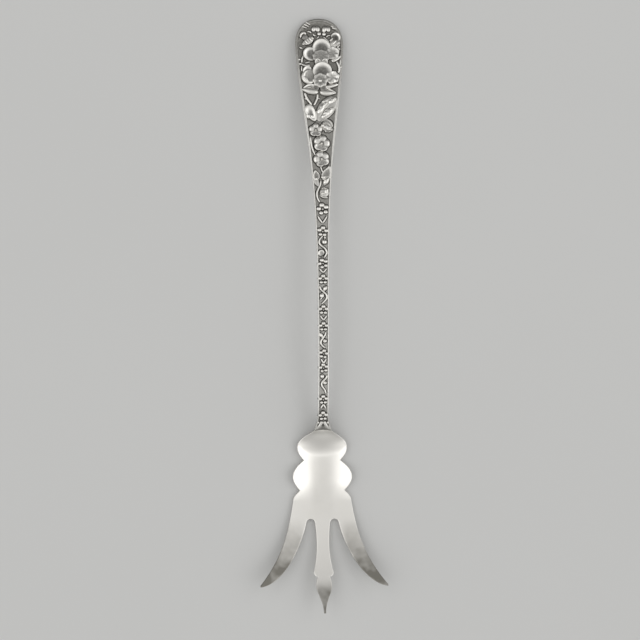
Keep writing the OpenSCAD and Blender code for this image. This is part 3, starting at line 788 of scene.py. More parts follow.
@dataclass(frozen=True)
class ForkHead:
    """The dished head: lobed palm, two flared side tines and a spear-ended middle tine."""

    handle: Handle
    head_len: float = 70.2
    upper_lobe: Spot = (6.5, 9.6)
    first_notch: Spot = (11.5, 7.1)
    lower_lobe: Spot = (17.8, 11.45)
    second_notch: Spot = (23.2, 8.7)
    tine_shoulder: Spot = (27.5, 11.3)
    tine_reach: float = 25.2
    side_tip_at: float = 60.0
    outer_lean: float = 5.5
    inner_lead: float = 5.8
    curl_power: float = 2.7
    lobe_lead_power: float = 1.25
    lobe_turn_power: float = 2.4
    spear_power: float = 0.75
    slot_x: float = 4.62
    slot_r: float = 1.75
    slot_root_at: float = 34.2
    middle_neck: Spot = (44.0, 2.4)
    middle_flare: Spot = (54.6, 3.8)
    middle_pinch: Spot = (56.3, 2.35)
    spear: Spot = (60.4, 3.05)
    tip_hw: float = 0.35
    tip_stop: float = 0.974
    head_t: float = 1.4
    heel_len: float = 10.5
    heel_round_share: float = 0.8
    heel_round_len: float = 6.0
    floor_end_at: float = 17.0
    tip_lift: float = 9.0
    dish_depth: float = 2.3
    tine_dish: float = 0.15
    tongue_t: float = 0.4
    rim_r: float = 0.2
    thinnest: float = 0.02
    round_share: float = 0.42
    fillet: float = 0.16
    seam_inset: float = 0.04
    seam_sink: float = 0.03
    film_edge: float = 0.4
    film_tone: float = 0.5
    tongue_hw: float = 0.3
    # Limits of the rim's distance: slope of the middle tine's edge, fall towards its point and a side tip
    steepest: float = 2.0
    spear_fall: float = 0.8
    tip_fall: float = 0.9
    # Painted darkening, as steps along the head and out from its axis: dark reflection towards the tips, and
    # a slightly darker middle of the palm
    side_dark_reflection: tuple[Step, ...] = ((0.42, 33.0, 9.0), (0.5, 43.0, 11.0))
    spear_dark_reflection: tuple[Step, ...] = ((0.95, 56.5, 8.0),)
    palm_darkening: tuple[Step, ...] = ((0.1, 9.0, 4.0), (-0.1, 28.0, 8.0))
    side_across: tuple[Step, ...] = ((1.0, 6.0, 4.0),)
    spear_across: tuple[Step, ...] = ((1.0, 4.0, -0.5),)
    palm_across: tuple[Step, ...] = ((1.0, 5.5, -3.0),)
    # Painted shade on the heel under the foot: the tone at the shoulder, and its step back up
    shaded_heel_tone: float = 0.5
    heel_shade_steps: tuple[Step, ...] = ((0.5, 0.2, 2.4),)

    @property
    def root_e(self) -> float:
        """Distance of the tines' roots from the shoulder."""
        return self.slot_root_at + self.slot_r

    @staticmethod
    def bow(e: Array, peak: Spot, foot: Spot) -> Array:
        """Parabola with its peak at one place, falling to a foot at another."""
        return peak[1] - (peak[1] - foot[1]) * ((e - peak[0]) / (foot[0] - peak[0])) ** 2

    def outer_edge(self, e: Array) -> Array:
        """Outer edge of a side tine: a lean plus a power, from the tine's shoulder to its tip.

        Args:
            e: Distances from the shoulder.

        Returns:
            The edge's x.
        """
        s = (e - self.tine_shoulder[0]) / (self.side_tip_at - self.tine_shoulder[0])
        curl = self.tine_reach - self.tine_shoulder[1] - self.outer_lean
        return self.tine_shoulder[1] + self.outer_lean * s + curl * np.maximum(s, 0.0) ** self.curl_power

    def lobe_rise(self, e: Array) -> Array:
        """Rise from the shoulder to the upper lobe, from 0 to 1: hollow at first, then rounding over."""
        u = np.clip(e / self.upper_lobe[0], 0.0, 1.0)
        return 1.0 - (1.0 - u**self.lobe_lead_power) ** self.lobe_turn_power

    def side_edge(self, e: Array) -> Array:
        """Half width of the palm: tongue, two lobes between notches, and the tines' shoulder.

        Args:
            e: Distances from the shoulder.

        Returns:
            The half widths, from a parabola for each stretch.
        """
        shoulder = self.handle.shoulder_w / 2.0
        lap = self.handle.lap_len
        narrow = shoulder - lap * (self.handle.shoulder_w - self.handle.stem_w) / self.handle.flare_len
        tongue = shoulder + (shoulder - max(self.tongue_hw, narrow)) * e / lap
        marks = [self.upper_lobe, self.first_notch, self.lower_lobe, self.second_notch, self.tine_shoulder]
        tests = [e < 0] + [e <= mark[0] for mark in marks]
        shapes = [
            tongue,
            shoulder + (self.upper_lobe[1] - shoulder) * self.lobe_rise(e),
            self.bow(e, self.upper_lobe, self.first_notch),
            self.bow(e, self.lower_lobe, self.first_notch),
            self.bow(e, self.lower_lobe, self.second_notch),
            self.bow(e, self.tine_shoulder, self.second_notch),
        ]
        return np.select(tests, shapes, self.outer_edge(e))

    def inner_edge(self, t: Array) -> tuple[Array, Array]:
        """Inner edge of a side tine: a quarter turn of an ellipse, with a lead along its sine.

        Args:
            t: Places from the root, 0, to the tip, 1.

        Returns:
            The edge's x and e.
        """
        angle = 0.5 * np.pi * t
        reach = self.tine_reach - self.slot_x - self.slot_r - self.inner_lead
        x = self.slot_x + self.slot_r + self.inner_lead * np.sin(angle) + reach * (1.0 - np.cos(angle))
        return x, self.root_e + (self.side_tip_at - self.root_e) * np.sin(angle)

    def middle_edge(self, e: Array) -> Array:
        """Half width of the middle tine: neck, flare, a quarter ellipse down to the pinch, and the spear.

        Args:
            e: Distances from the shoulder.

        Returns:
            The half widths.
        """
        root = (self.root_e, self.slot_x - self.slot_r)
        pinch = np.clip((e - self.middle_flare[0]) / (self.middle_pinch[0] - self.middle_flare[0]), 0.0, 1.0)
        drop = self.middle_flare[1] - self.middle_pinch[1]
        past = np.clip((e - self.spear[0]) / (self.head_len - self.spear[0]), 0.0, 1.0)
        point = ease(past**self.spear_power)
        marks = (self.middle_neck, self.middle_flare, self.middle_pinch, self.spear)
        tests = [e <= mark[0] for mark in marks]
        shapes = [
            self.bow(e, self.middle_neck, root),
            self.bow(e, self.middle_neck, self.middle_flare),
            self.middle_pinch[1] + drop * np.sqrt(1.0 - pinch**2),
            self.bow(e, self.spear, self.middle_pinch),
        ]
        return np.select(tests, shapes, self.spear[1] - (self.spear[1] - self.tip_hw) * point)

    def top_z(self, x: Array, e: Array) -> Array:
        """Height of the upper side: tongue, a cubic heel, a level floor and rising tines, dished across.

        Along the heel a place's distance from the axis counts too, so the heel is round in plan.

        Args:
            x: Places across.
            e: Distances from the shoulder.

        Returns:
            The heights.
        """
        handle = self.handle
        lap_top, lap_end = handle.lap_z()
        floor = self.head_t - handle.worn_flat
        run, r = handle.arc(np.array(handle.handle_len))
        slope = float(-run / np.sqrt(r * r - run * run))
        out = np.maximum(e, 0.0)
        along = np.sqrt(out**2 + (self.heel_round_share * x) ** 2 * ease(out / self.heel_round_len))
        u = np.clip(along / self.heel_len, 0.0, 1.0)
        start = (1 + 2 * u) * (1 - u) ** 2 * lap_top
        heel = start + u * (1 - u) ** 2 * self.heel_len * slope + u * u * (3 - 2 * u) * floor
        rise = np.maximum(0.0, e - self.floor_end_at) / (self.head_len - self.floor_end_at)
        tongue = lap_top + (lap_top - lap_end) * e / handle.lap_len
        spine = np.where(e < 0, tongue, heel + self.tip_lift * rise**2)
        fade = ease((e - self.lower_lobe[0]) / (self.tine_shoulder[0] - self.lower_lobe[0]))
        dish = self.dish_depth / self.lower_lobe[1] ** 2 * ease(e / self.upper_lobe[0])
        return spine + dish * (1.0 - (1.0 - self.tine_dish) * fade) * x * x

    def plate_t(self, e: Array) -> Array:
        """Thickness: the stem's at the shoulder, thin on the tongue and even past the heel.

        Args:
            e: Distances from the shoulder.

        Returns:
            The thicknesses.
        """
        thick = self.handle.stem_t
        body = self.head_t + (thick - self.head_t) * (1.0 - ease(e / self.heel_len))
        return np.where(e < 0, thick + (thick - self.tongue_t) * e / self.handle.lap_len, body)

    @staticmethod
    def rows(marks: list[float], counts: tuple[int, ...], last: float) -> Array:
        """Even rows between marks, then rows that crowd towards the last place.

        Args:
            marks: Places along.
            counts: Rows from each mark to the next; the last count is for the crowded rows.
            last: Last place.

        Returns:
            The places of all rows, as a column.
        """
        even = [np.linspace(a, b, n, endpoint=False) for a, b, n in zip(marks, marks[1:], counts)]
        return np.concatenate([*even, marks[-1] + (last - marks[-1]) * slowing(counts[-1])])[:, None]

    @staticmethod
    def inside(edge: Callable[[Array], Array], x: Array, e: Array, steepest: float) -> Array:
        """Distance of places from a curved edge: the gap across over the root of (1 + slope squared).

        Args:
            edge: Half width along the plate.
            x: Places across.
            e: Distances from the shoulder, as a column.
            steepest: Largest slope that counts.

        Returns:
            The distances.
        """
        step = 0.01
        lean = np.abs(edge(e + step) - edge(e - step)) / (2 * step)
        return (edge(e) - np.abs(x)) / np.sqrt(1.0 + np.minimum(lean, steepest) ** 2)

    def palm_grid(self) -> Grid:
        """Grid of the palm, with its last row bent round the slot roots.

        Columns keep their share of the half width, and crowd together at every edge.

        Returns:
            The grid's x and e, and each point's distance from the plate's edge.
        """
        root_hw = float(self.side_edge(np.array(self.root_e)))
        outer = self.slot_x + self.slot_r
        middle = (self.slot_x - self.slot_r) * slowing(12)
        slot = self.slot_x - self.slot_r * np.cos(np.pi * np.arange(1, 11) / 10.0)
        side = outer + (root_hw - outer) * crowding(22)[1:]
        at_root = both_sides(np.concatenate([middle, slot, side]))[None, :]
        bends = (self.upper_lobe, self.first_notch, self.lower_lobe, self.second_notch, self.tine_shoulder)
        marks = [-self.handle.lap_len, 0.0] + [bend[0] for bend in bends]
        e_row = self.rows(marks, (8, 22, 24, 24, 24, 20, 30), self.root_e)
        x = at_root / root_hw * self.side_edge(e_row)
        sag = np.sqrt(np.clip(self.slot_r**2 - (np.abs(at_root) - self.slot_x) ** 2, 0.0, None))
        past = np.clip((e_row - self.tine_shoulder[0]) / (self.root_e - self.tine_shoulder[0]), 0.0, 1.0)
        e = e_row - sag * past**3
        from_slot = np.hypot(np.abs(x) - self.slot_x, e - self.root_e) - self.slot_r
        from_side = self.inside(self.side_edge, x, e_row, math.inf)
        return x, e, np.minimum(from_side, np.maximum(from_slot, 0.0))

    def middle_grid(self) -> Grid:
        """Grid of the middle tine, from its root to its point.

        Returns:
            The grid's x and e, and each point's distance from the plate's edge.
        """
        bends = (self.middle_neck, self.middle_flare, self.middle_pinch, self.spear)
        e = self.rows([self.root_e] + [bend[0] for bend in bends], (16, 22, 16, 14, 34), self.head_len)
        x = both_sides(slowing(12))[None, :] * self.middle_edge(e)
        away = self.inside(self.middle_edge, x, e, self.steepest)
        return x, e * np.ones_like(x), np.minimum(away, (self.head_len - e) * self.spear_fall)

    def side_grid(self) -> Grid:
        """Grid of the right-hand tine; its rows run from the inner edge to the outer one.

        Returns:
            The grid's x and e, and each point's distance from the plate's edge.
        """
        t = self.tip_stop * slowing(80)[:, None]
        share = crowding(22)[None, :]
        in_x, in_e = self.inner_edge(t)
        out_e = self.root_e + (self.side_tip_at - self.root_e) * t
        out_x = self.outer_edge(out_e)
        wide_x, wide_e = out_x - in_x, out_e - in_e
        x, e = in_x + wide_x * share, in_e + wide_e * share
        width = np.hypot(wide_x, wide_e)
        along_x = np.gradient(0.5 * (in_x + out_x), axis=0)
        along_e = np.gradient(0.5 * (in_e + out_e), axis=0)
        square = np.abs(wide_x * along_e - wide_e * along_x) / (width * np.hypot(along_x, along_e))
        from_tip = np.hypot(x - self.outer_edge(out_e[-1]), e - out_e[-1])
        away = np.minimum(share, 1.0 - share) * width * square
        return x, e, np.minimum(away, from_tip * self.tip_fall)

    def tone(self, x: Array, e: Array) -> Array:
        """Brightness of the plate: painted dark reflection towards the tips, painted shade at the heel under
        the foot, and a little darker along the middle of the palm.

        Args:
            x: Places across.
            e: Distances from the shoulder.

        Returns:
            1 where it is bright, less where it is darkened.
        """
        out = np.abs(x)
        sides = stepped(out, 0.0, self.side_across) * stepped(e, 0.0, self.side_dark_reflection)
        spear = stepped(out, 0.0, self.spear_across) * stepped(e, 0.0, self.spear_dark_reflection)
        palm = stepped(out, 0.0, self.palm_across) * stepped(e, 0.0, self.palm_darkening)
        return stepped(e, self.shaded_heel_tone, self.heel_shade_steps) - sides - spear - palm

    def shell(self) -> Shell:
        """Put the grids together as one plate with rounded rims, a side wall and an underside.

        Within rim_r of the edge, each side curves towards the wall as a quarter circle.

        Returns:
            The shell in the part's frame.
        """
        x, e, away = self.side_grid()
        left = (-x[:, ::-1], e[:, ::-1], away[:, ::-1])
        grids = [self.palm_grid(), self.middle_grid(), (x, e, away), left]
        starts = np.cumsum([0] + [grid[0].size for grid in grids])
        quads = np.concatenate([grid_faces(*grid[0].shape) + n for grid, n in zip(grids, starts)])
        flat = np.concatenate([np.stack(grid, axis=2).reshape(-1, 3) for grid in grids])
        _, first, back = np.unique(np.round(flat[:, :2], 4), axis=0, return_index=True, return_inverse=True)
        x, e, away = flat[first].T
        close = np.clip(1.0 - away / self.rim_r, 0.0, 1.0)
        raw, thick = self.top_z(x, e), self.plate_t(e)
        thin = np.minimum(1.0, self.round_share * thick / self.rim_r)
        round_off = self.rim_r * (1.0 - np.sqrt(1.0 - close**2)) * thin
        top = raw - round_off
        under = np.minimum(np.maximum(0.0, raw - thick) + round_off, top - self.thinnest)
        y = self.handle.y_at(self.handle.handle_len + e)
        upper, lower = (np.stack([x, y, z], axis=1) for z in (top, under))
        return Shell.plate(upper, lower, back.ravel()[quads], self.tone(x, e)).welded()

    def seam_shell(self) -> Shell:
        """Film of solder on the tongue, under the foot: a thin plate on the lap plane.

        Its shoulder end follows the notch of the foot and stands out a little as a fillet.

        Returns:
            The shell in the part's frame.
        """
        handle = self.handle
        v = np.linspace(-1.0, 1.0, 33)[None, :]
        u = np.linspace(0.0, 1.0, 25)[:, None]
        back = handle.notch(np.abs(v) / 2.0) - self.fillet
        e = np.minimum(-handle.lap_len * u - back * (1.0 - u) ** 3, 0.0)
        x = v * (self.side_edge(e) - self.seam_inset)
        y = handle.y_at(handle.handle_len + e)
        base = self.top_z(x, e)
        edge = np.minimum(1.0, np.minimum(u * 12.0, (1.0 - np.abs(v)) * 10.0))
        top = base + handle.solder_t * (self.film_edge + (1.0 - self.film_edge) * edge)
        upper, lower = (np.stack([x, y, z], axis=2).reshape(-1, 3) for z in (top, base - self.seam_sink))
        return Shell.plate(upper, lower, grid_faces(*x.shape), np.full(x.size, self.film_tone))


class Value:
    """A shader value; Python's operators on it add Math nodes."""

    def __init__(self, graph: "NodeGraph", socket: bpy.types.NodeSocket) -> None:
        """Keep the graph and the socket that gives the value."""
        self.graph = graph
        self.socket = socket

    def math(
        self, operation: str, first: "Value | float", second: "Value | float", clamp: bool = False
    ) -> "Value":
        """Add one Math node.

        Args:
            operation: The node's operation.
            first: Its first value.
            second: Its second value.
            clamp: Whether the result is held between 0 and 1.

        Returns:
            The node's result.
        """
        settings = {"operation": operation, "use_clamp": clamp}
        return self.graph.value("ShaderNodeMath", settings, {0: first, 1: second})

    def __add__(self, other: "Value | float") -> "Value":
        """Self plus other."""
        return self.math("ADD", self, other)

    def __radd__(self, other: float) -> "Value":
        """Other plus self."""
        return self.math("ADD", other, self)

    def __sub__(self, other: "Value | float") -> "Value":
        """Self less other."""
        return self.math("SUBTRACT", self, other)

    def __rsub__(self, other: float) -> "Value":
        """Other less self."""
        return self.math("SUBTRACT", other, self)

    def __mul__(self, other: "Value | float") -> "Value":
        """Self times other."""
        return self.math("MULTIPLY", self, other)

    def __rmul__(self, other: float) -> "Value":
        """Other times self."""
        return self.math("MULTIPLY", other, self)

    def held(self) -> "Value":
        """Self, held between 0 and 1."""
        return self.math("ADD", self, 0.0, clamp=True)


Input = Value | float | Colour | tuple[float, float, float]


class NodeGraph:
    """A node tree of a material or the world, to which nodes are added one by one."""

    def __init__(self, tree: bpy.types.NodeTree) -> None:
        """Take over a tree and empty it."""
        self.tree = tree
        tree.nodes.clear()

    def node(self, kind: str, settings: dict[str, object], inputs: dict[str | int, Input]) -> bpy.types.Node:
        """Make any node.

        Args:
            kind: Blender's name for the node's type.
            settings: The node's own settings, set first; "stops" holds a ramp's places and colours.
            inputs: Values or links of its sockets, by name or number.

        Returns:
            The node.
        """
        made = self.tree.nodes.new(kind)
        for name, setting in settings.items():
            if name == "stops":
                self.set_stops(made.color_ramp, setting)
            else:
                setattr(made, name, setting)
        for name, given in inputs.items():
            if isinstance(given, Value):
                self.tree.links.new(given.socket, made.inputs[name])
            else:
                made.inputs[name].default_value = given
        return made

    @staticmethod
    def set_stops(ramp: bpy.types.ColorRamp, stops: list[tuple[float, Colour]]) -> None:
        """Give a ramp its places and colours."""
        while len(ramp.elements) < len(stops):
            ramp.elements.new(1.0)
        for element, (place, colour) in zip(ramp.elements, stops):
            element.position = place
            element.color = colour

    def value(
        self, kind: str, settings: dict[str, object], inputs: dict[str | int, Input], output: str | int = 0
    ) -> Value:
        """Make a node and take one of its results.

        Args:
            kind: Blender's name for the node's type.
            settings: The node's own settings.
            inputs: Values or links of its sockets.
            output: Name or number of the result.

        Returns:
            The result as a value.
        """
        return Value(self, self.node(kind, settings, inputs).outputs[output])

    def blend(self, share: Value, first: Input, second: Input) -> Value:
        """Mix two colours by a share of the second."""
        return self.value("ShaderNodeMix", {"data_type": "RGBA"}, {0: share, 6: first, 7: second}, 2)

    def noise(self, scale: float, detail: float, stretch: tuple[float, float, float] = (1, 1, 1)) -> Value:
        """Noise on Object coordinates.

        Args:
            scale: Number of features in a metre.
            detail: Octaves.
            stretch: Scale along each axis.

        Returns:
            Values about 0.5.
        """
        place = self.value("ShaderNodeTexCoord", {}, {}, "Object")
        place = self.value("ShaderNodeMapping", {}, {"Vector": place, "Scale": stretch})
        return self.value("ShaderNodeTexNoise", {}, {"Vector": place, "Scale": scale, "Detail": detail})

    def tone(self) -> Value:
        """The piece's own brightness attribute."""
        return self.value("ShaderNodeAttribute", {"attribute_name": "tone"}, {}, "Fac")

    def bump(self, height: Value, strength: float, distance: float) -> Value:
        """Bump from a height, for a shader's Normal."""
        inputs = {"Height": height, "Strength": strength, "Distance": distance}
        return self.value("ShaderNodeBump", {}, inputs)

    def close(self, colour: Input, roughness: Input, metallic: float, normal: Value | None) -> None:
        """End the graph in a Principled shader.

        Args:
            colour: Base colour.
            roughness: Roughness.
            metallic: 1 for metal, 0 for anything else.
            normal: Bump, if there is any.
        """
        inputs: dict[str | int, Input] = {"Base Color": colour, "Roughness": roughness, "Metallic": metallic}
        if normal is not None:
            inputs["Normal"] = normal
        surface = self.value("ShaderNodeBsdfPrincipled", {}, inputs)
        self.node("ShaderNodeOutputMaterial", {}, {"Surface": surface})


def new_material(name: str) -> tuple[bpy.types.Material, NodeGraph]:
    """Make an empty node material.

    Args:
        name: The finish's name.

    Returns:
        The material and its graph.
    """
    material = bpy.data.materials.new(name)
    material.use_nodes = True
    return material, NodeGraph(material.node_tree)


@dataclass(frozen=True)
class PolishedSilver:
    """Plain silver polished by use: faint clouds, fine scratches, and where a piece's tone is low, painted
    shade and dark reflection mottled like stains.

    Each scale is a number of features in a metre.
    """

    bright: Colour = (0.94, 0.918, 0.88, 1.0)
    clouded: Colour = (0.81, 0.787, 0.74, 1.0)
    # Darkest colour: painted shade and dark reflection, mottled like stains
    shaded_and_stained: Colour = (0.255, 0.244, 0.218, 1.0)
    gloss: float = 0.3
    cloud_scale: float = 90.0
    scratch_scale: float = 900.0
    cross_scale: float = 700.0
    blot_scale: float = 170.0
    scratch_depth: float = 0.0001

    def material(self) -> bpy.types.Material:
        """Build the finish's nodes.

        Returns:
            The material.
        """
        material, graph = new_material("polished_silver_worn")
        patch = ((graph.noise(self.cloud_scale, 3.0) - 0.5) * 2.4).held()
        scratch = graph.noise(self.scratch_scale, 2.0, (6.0, 0.35, 1.0))
        cross = graph.noise(self.cross_scale, 2.0, (0.5, 5.0, 1.0))
        blot = graph.noise(self.blot_scale, 2.0)
        # Painted shade and dark reflection where the tone is low, mottled like stains by the blots
        shade_and_stain = ((1.0 - graph.tone()) * (blot * 1.7 + 0.2)).held()
        colour = graph.blend(shade_and_stain, graph.blend(patch * 0.5, self.bright, self.clouded), self.shaded_and_stained)
        rough = self.gloss + 0.07 * patch + 0.05 * scratch + 0.1 * shade_and_stain
        graph.close(colour, rough, 1.0, graph.bump(scratch * 0.7 + cross * 0.3, 0.05, self.scratch_depth))
        return material


@dataclass(frozen=True)
class ChasedSilver:
    """Chased silver: bright where a piece's tone is high, darkened where it is low by oxide and by painted
    shade.
    """

    name: str
    bright: Colour = (0.885, 0.868, 0.832, 1.0)
    # Darkest colour: oxide, and painted shade where a piece's tone holds it
    oxide_and_shade: Colour = (0.237, 0.23, 0.212, 1.0)
    gloss: float = 0.24
    matt: float = 0.55
    stipple: float = 0.0
    grime_scale: float = 1400.0
    fine_scale: float = 5200.0
    pit_scale: float = 2600.0
    pit_depth: float = 0.00012

    def material(self) -> bpy.types.Material:
        """Build the finish's nodes.

        Returns:
            The material.
        """
        material, graph = new_material(self.name)
        grime = graph.noise(self.grime_scale, 4.0)
        fine = graph.noise(self.fine_scale, 3.0)
        # The tone holds oxide and painted light and shade; grime varies it at random
        shine = (graph.tone() + (grime - 0.5) * 0.35).held()
        colour = graph.blend(shine, self.oxide_and_shade, self.bright)
        rough = self.matt - (self.matt - self.gloss) * shine + 0.08 * fine
        place = graph.value("ShaderNodeTexCoord", {}, {}, "Object")
        inputs = {"Vector": place, "Scale": self.pit_scale, "Smoothness": 0.6}
        pits = graph.value("ShaderNodeTexVoronoi", {"feature": "SMOOTH_F1"}, inputs, "Distance")
        relief = fine * 0.25 + pits * (1.0 - shine) * self.stipple
        graph.close(colour, rough, 1.0, graph.bump(relief, 0.35, self.pit_depth))
        return material


@dataclass(frozen=True)
class HardSolder:
    """Silver solder, a little greyer and duller than the silver that it joins, and darker still as painted
    shade under the foot.
    """

    # Both greys are darkened as painted shade where the film shows under the foot
    base: Colour = (0.6, 0.59, 0.56, 1.0)
    dull_and_shaded: Colour = (0.4, 0.39, 0.36, 1.0)
    gloss: float = 0.32
    flow_scale: float = 1800.0
    flow_depth: float = 0.0001

    def material(self) -> bpy.types.Material:
        """Build the finish's nodes.

        Returns:
            The material.
        """
        material, graph = new_material("hard_solder_filed")
        flow = graph.noise(self.flow_scale, 4.0)
        colour = graph.blend(flow, self.base, self.dull_and_shaded)
        graph.close(colour, self.gloss + 0.15 * flow, 1.0, graph.bump(flow, 0.15, self.flow_depth))
        return material


@dataclass(frozen=True)
class PaleFloor:
    """The studio floor: plain, pale and matt; its sizes are metres."""

    colour: Colour = (0.65, 0.65, 0.645, 1.0)
    deeper: Colour = (0.63, 0.63, 0.625, 1.0)
    half_size: float = 4.0
    level: float = -0.0001
    grain_scale: float = 9.0

    def build(self) -> None:
        """Make the floor just under the fork and mark it as stage."""
        material, graph = new_material("pale_floor")
        grain = graph.noise(self.grain_scale, 3.0)
        graph.close(graph.blend(grain, self.colour, self.deeper), 0.9, 0.0, None)
        mesh = bpy.data.meshes.new("studio_floor")
        reach, low = self.half_size, self.level
        corners = [(-reach, -reach, low), (reach, -reach, low), (reach, reach, low), (-reach, reach, low)]
        mesh.from_pydata(corners, [], [(0, 1, 2, 3)])
        mesh.materials.append(material)
        floor = bpy.data.objects.new("studio_floor", mesh)
        bpy.context.scene.collection.objects.link(floor)


@dataclass(frozen=True)
class PieceMaker:
    """Turns shells into pieces that ride on the part and stand for CAD nodes."""

    handle: Handle
    # Painted shade by facing: brightness left on a motif's walls, and how far a face has to look up to be
    # painted bright
    shaded_wall_tone: float = 0.4
    up_from: float = 0.05
    up_run: float = 0.45

    def add(self, name: str, shell: Shell, material: bpy.types.Material, node: str, slot: str) -> None:
        """Make one piece, dress it and hide the CAD node that it stands for.

        Args:
            name: The piece's name.
            shell: Its skin in the part's frame.
            material: Its finish.
            node: The CAD node that it replaces.
            slot: Not used.
        """
        piece = shell.mesh_object(name)
        piece.data.materials.append(material)
        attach(piece, BODY)
        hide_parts(node)
        log.info("%s: %d faces", name, len(piece.data.polygons))

    def relief(self, node: str, motifs: list[Motif], material: bpy.types.Material) -> None:
        """Seat a group of motifs on the handle as one piece, with painted shade on faces that do not look up.

        Args:
            node: The CAD node that the group replaces.
            motifs: Its petals and ribbons.
            material: Its finish.
        """
        seated = [self.handle.seat(motif.shell()) for motif in motifs]
        # Painted shade: faces that turn away from overhead keep less of their tone
        for shell in seated:
            bright = ease((shell.facing_up() - self.up_from) / self.up_run)
            shell.tone *= self.shaded_wall_tone + (1.0 - self.shaded_wall_tone) * bright
        self.add(f"{node}_relief", Shell.joined(seated), material, node, "raised_silver")


def stroke(path: Path, width: float = 0.42, height: float = 0.55, shine: float = 1.0) -> Ribbon:
    """A short half-round line.

    Args:
        path: Places that it goes through.
        width: Half width.
        height: Height of its crest.
        shine: Brightness of its crest.

    Returns:
        The ribbon.
    """
    return Ribbon(path, width, height, start=0.3, end=0.3, shine=shine, stations=14, columns=9)


def dome(x: float, d: float, along: float, across: float, height: float, facing: float = 0.0) -> Petal:
    """A plain rounded bead or bud lobe.

    Args:
        x: Place across.
        d: Place along the handle.
        along: Half length on the line of facing.
        across: Half width.
        height: Height of its top.
        facing: Its turn in degrees.

    Returns:
        The dome.
    """
    return Petal(x, d, along, across, height, facing, rings=9, spokes=26)


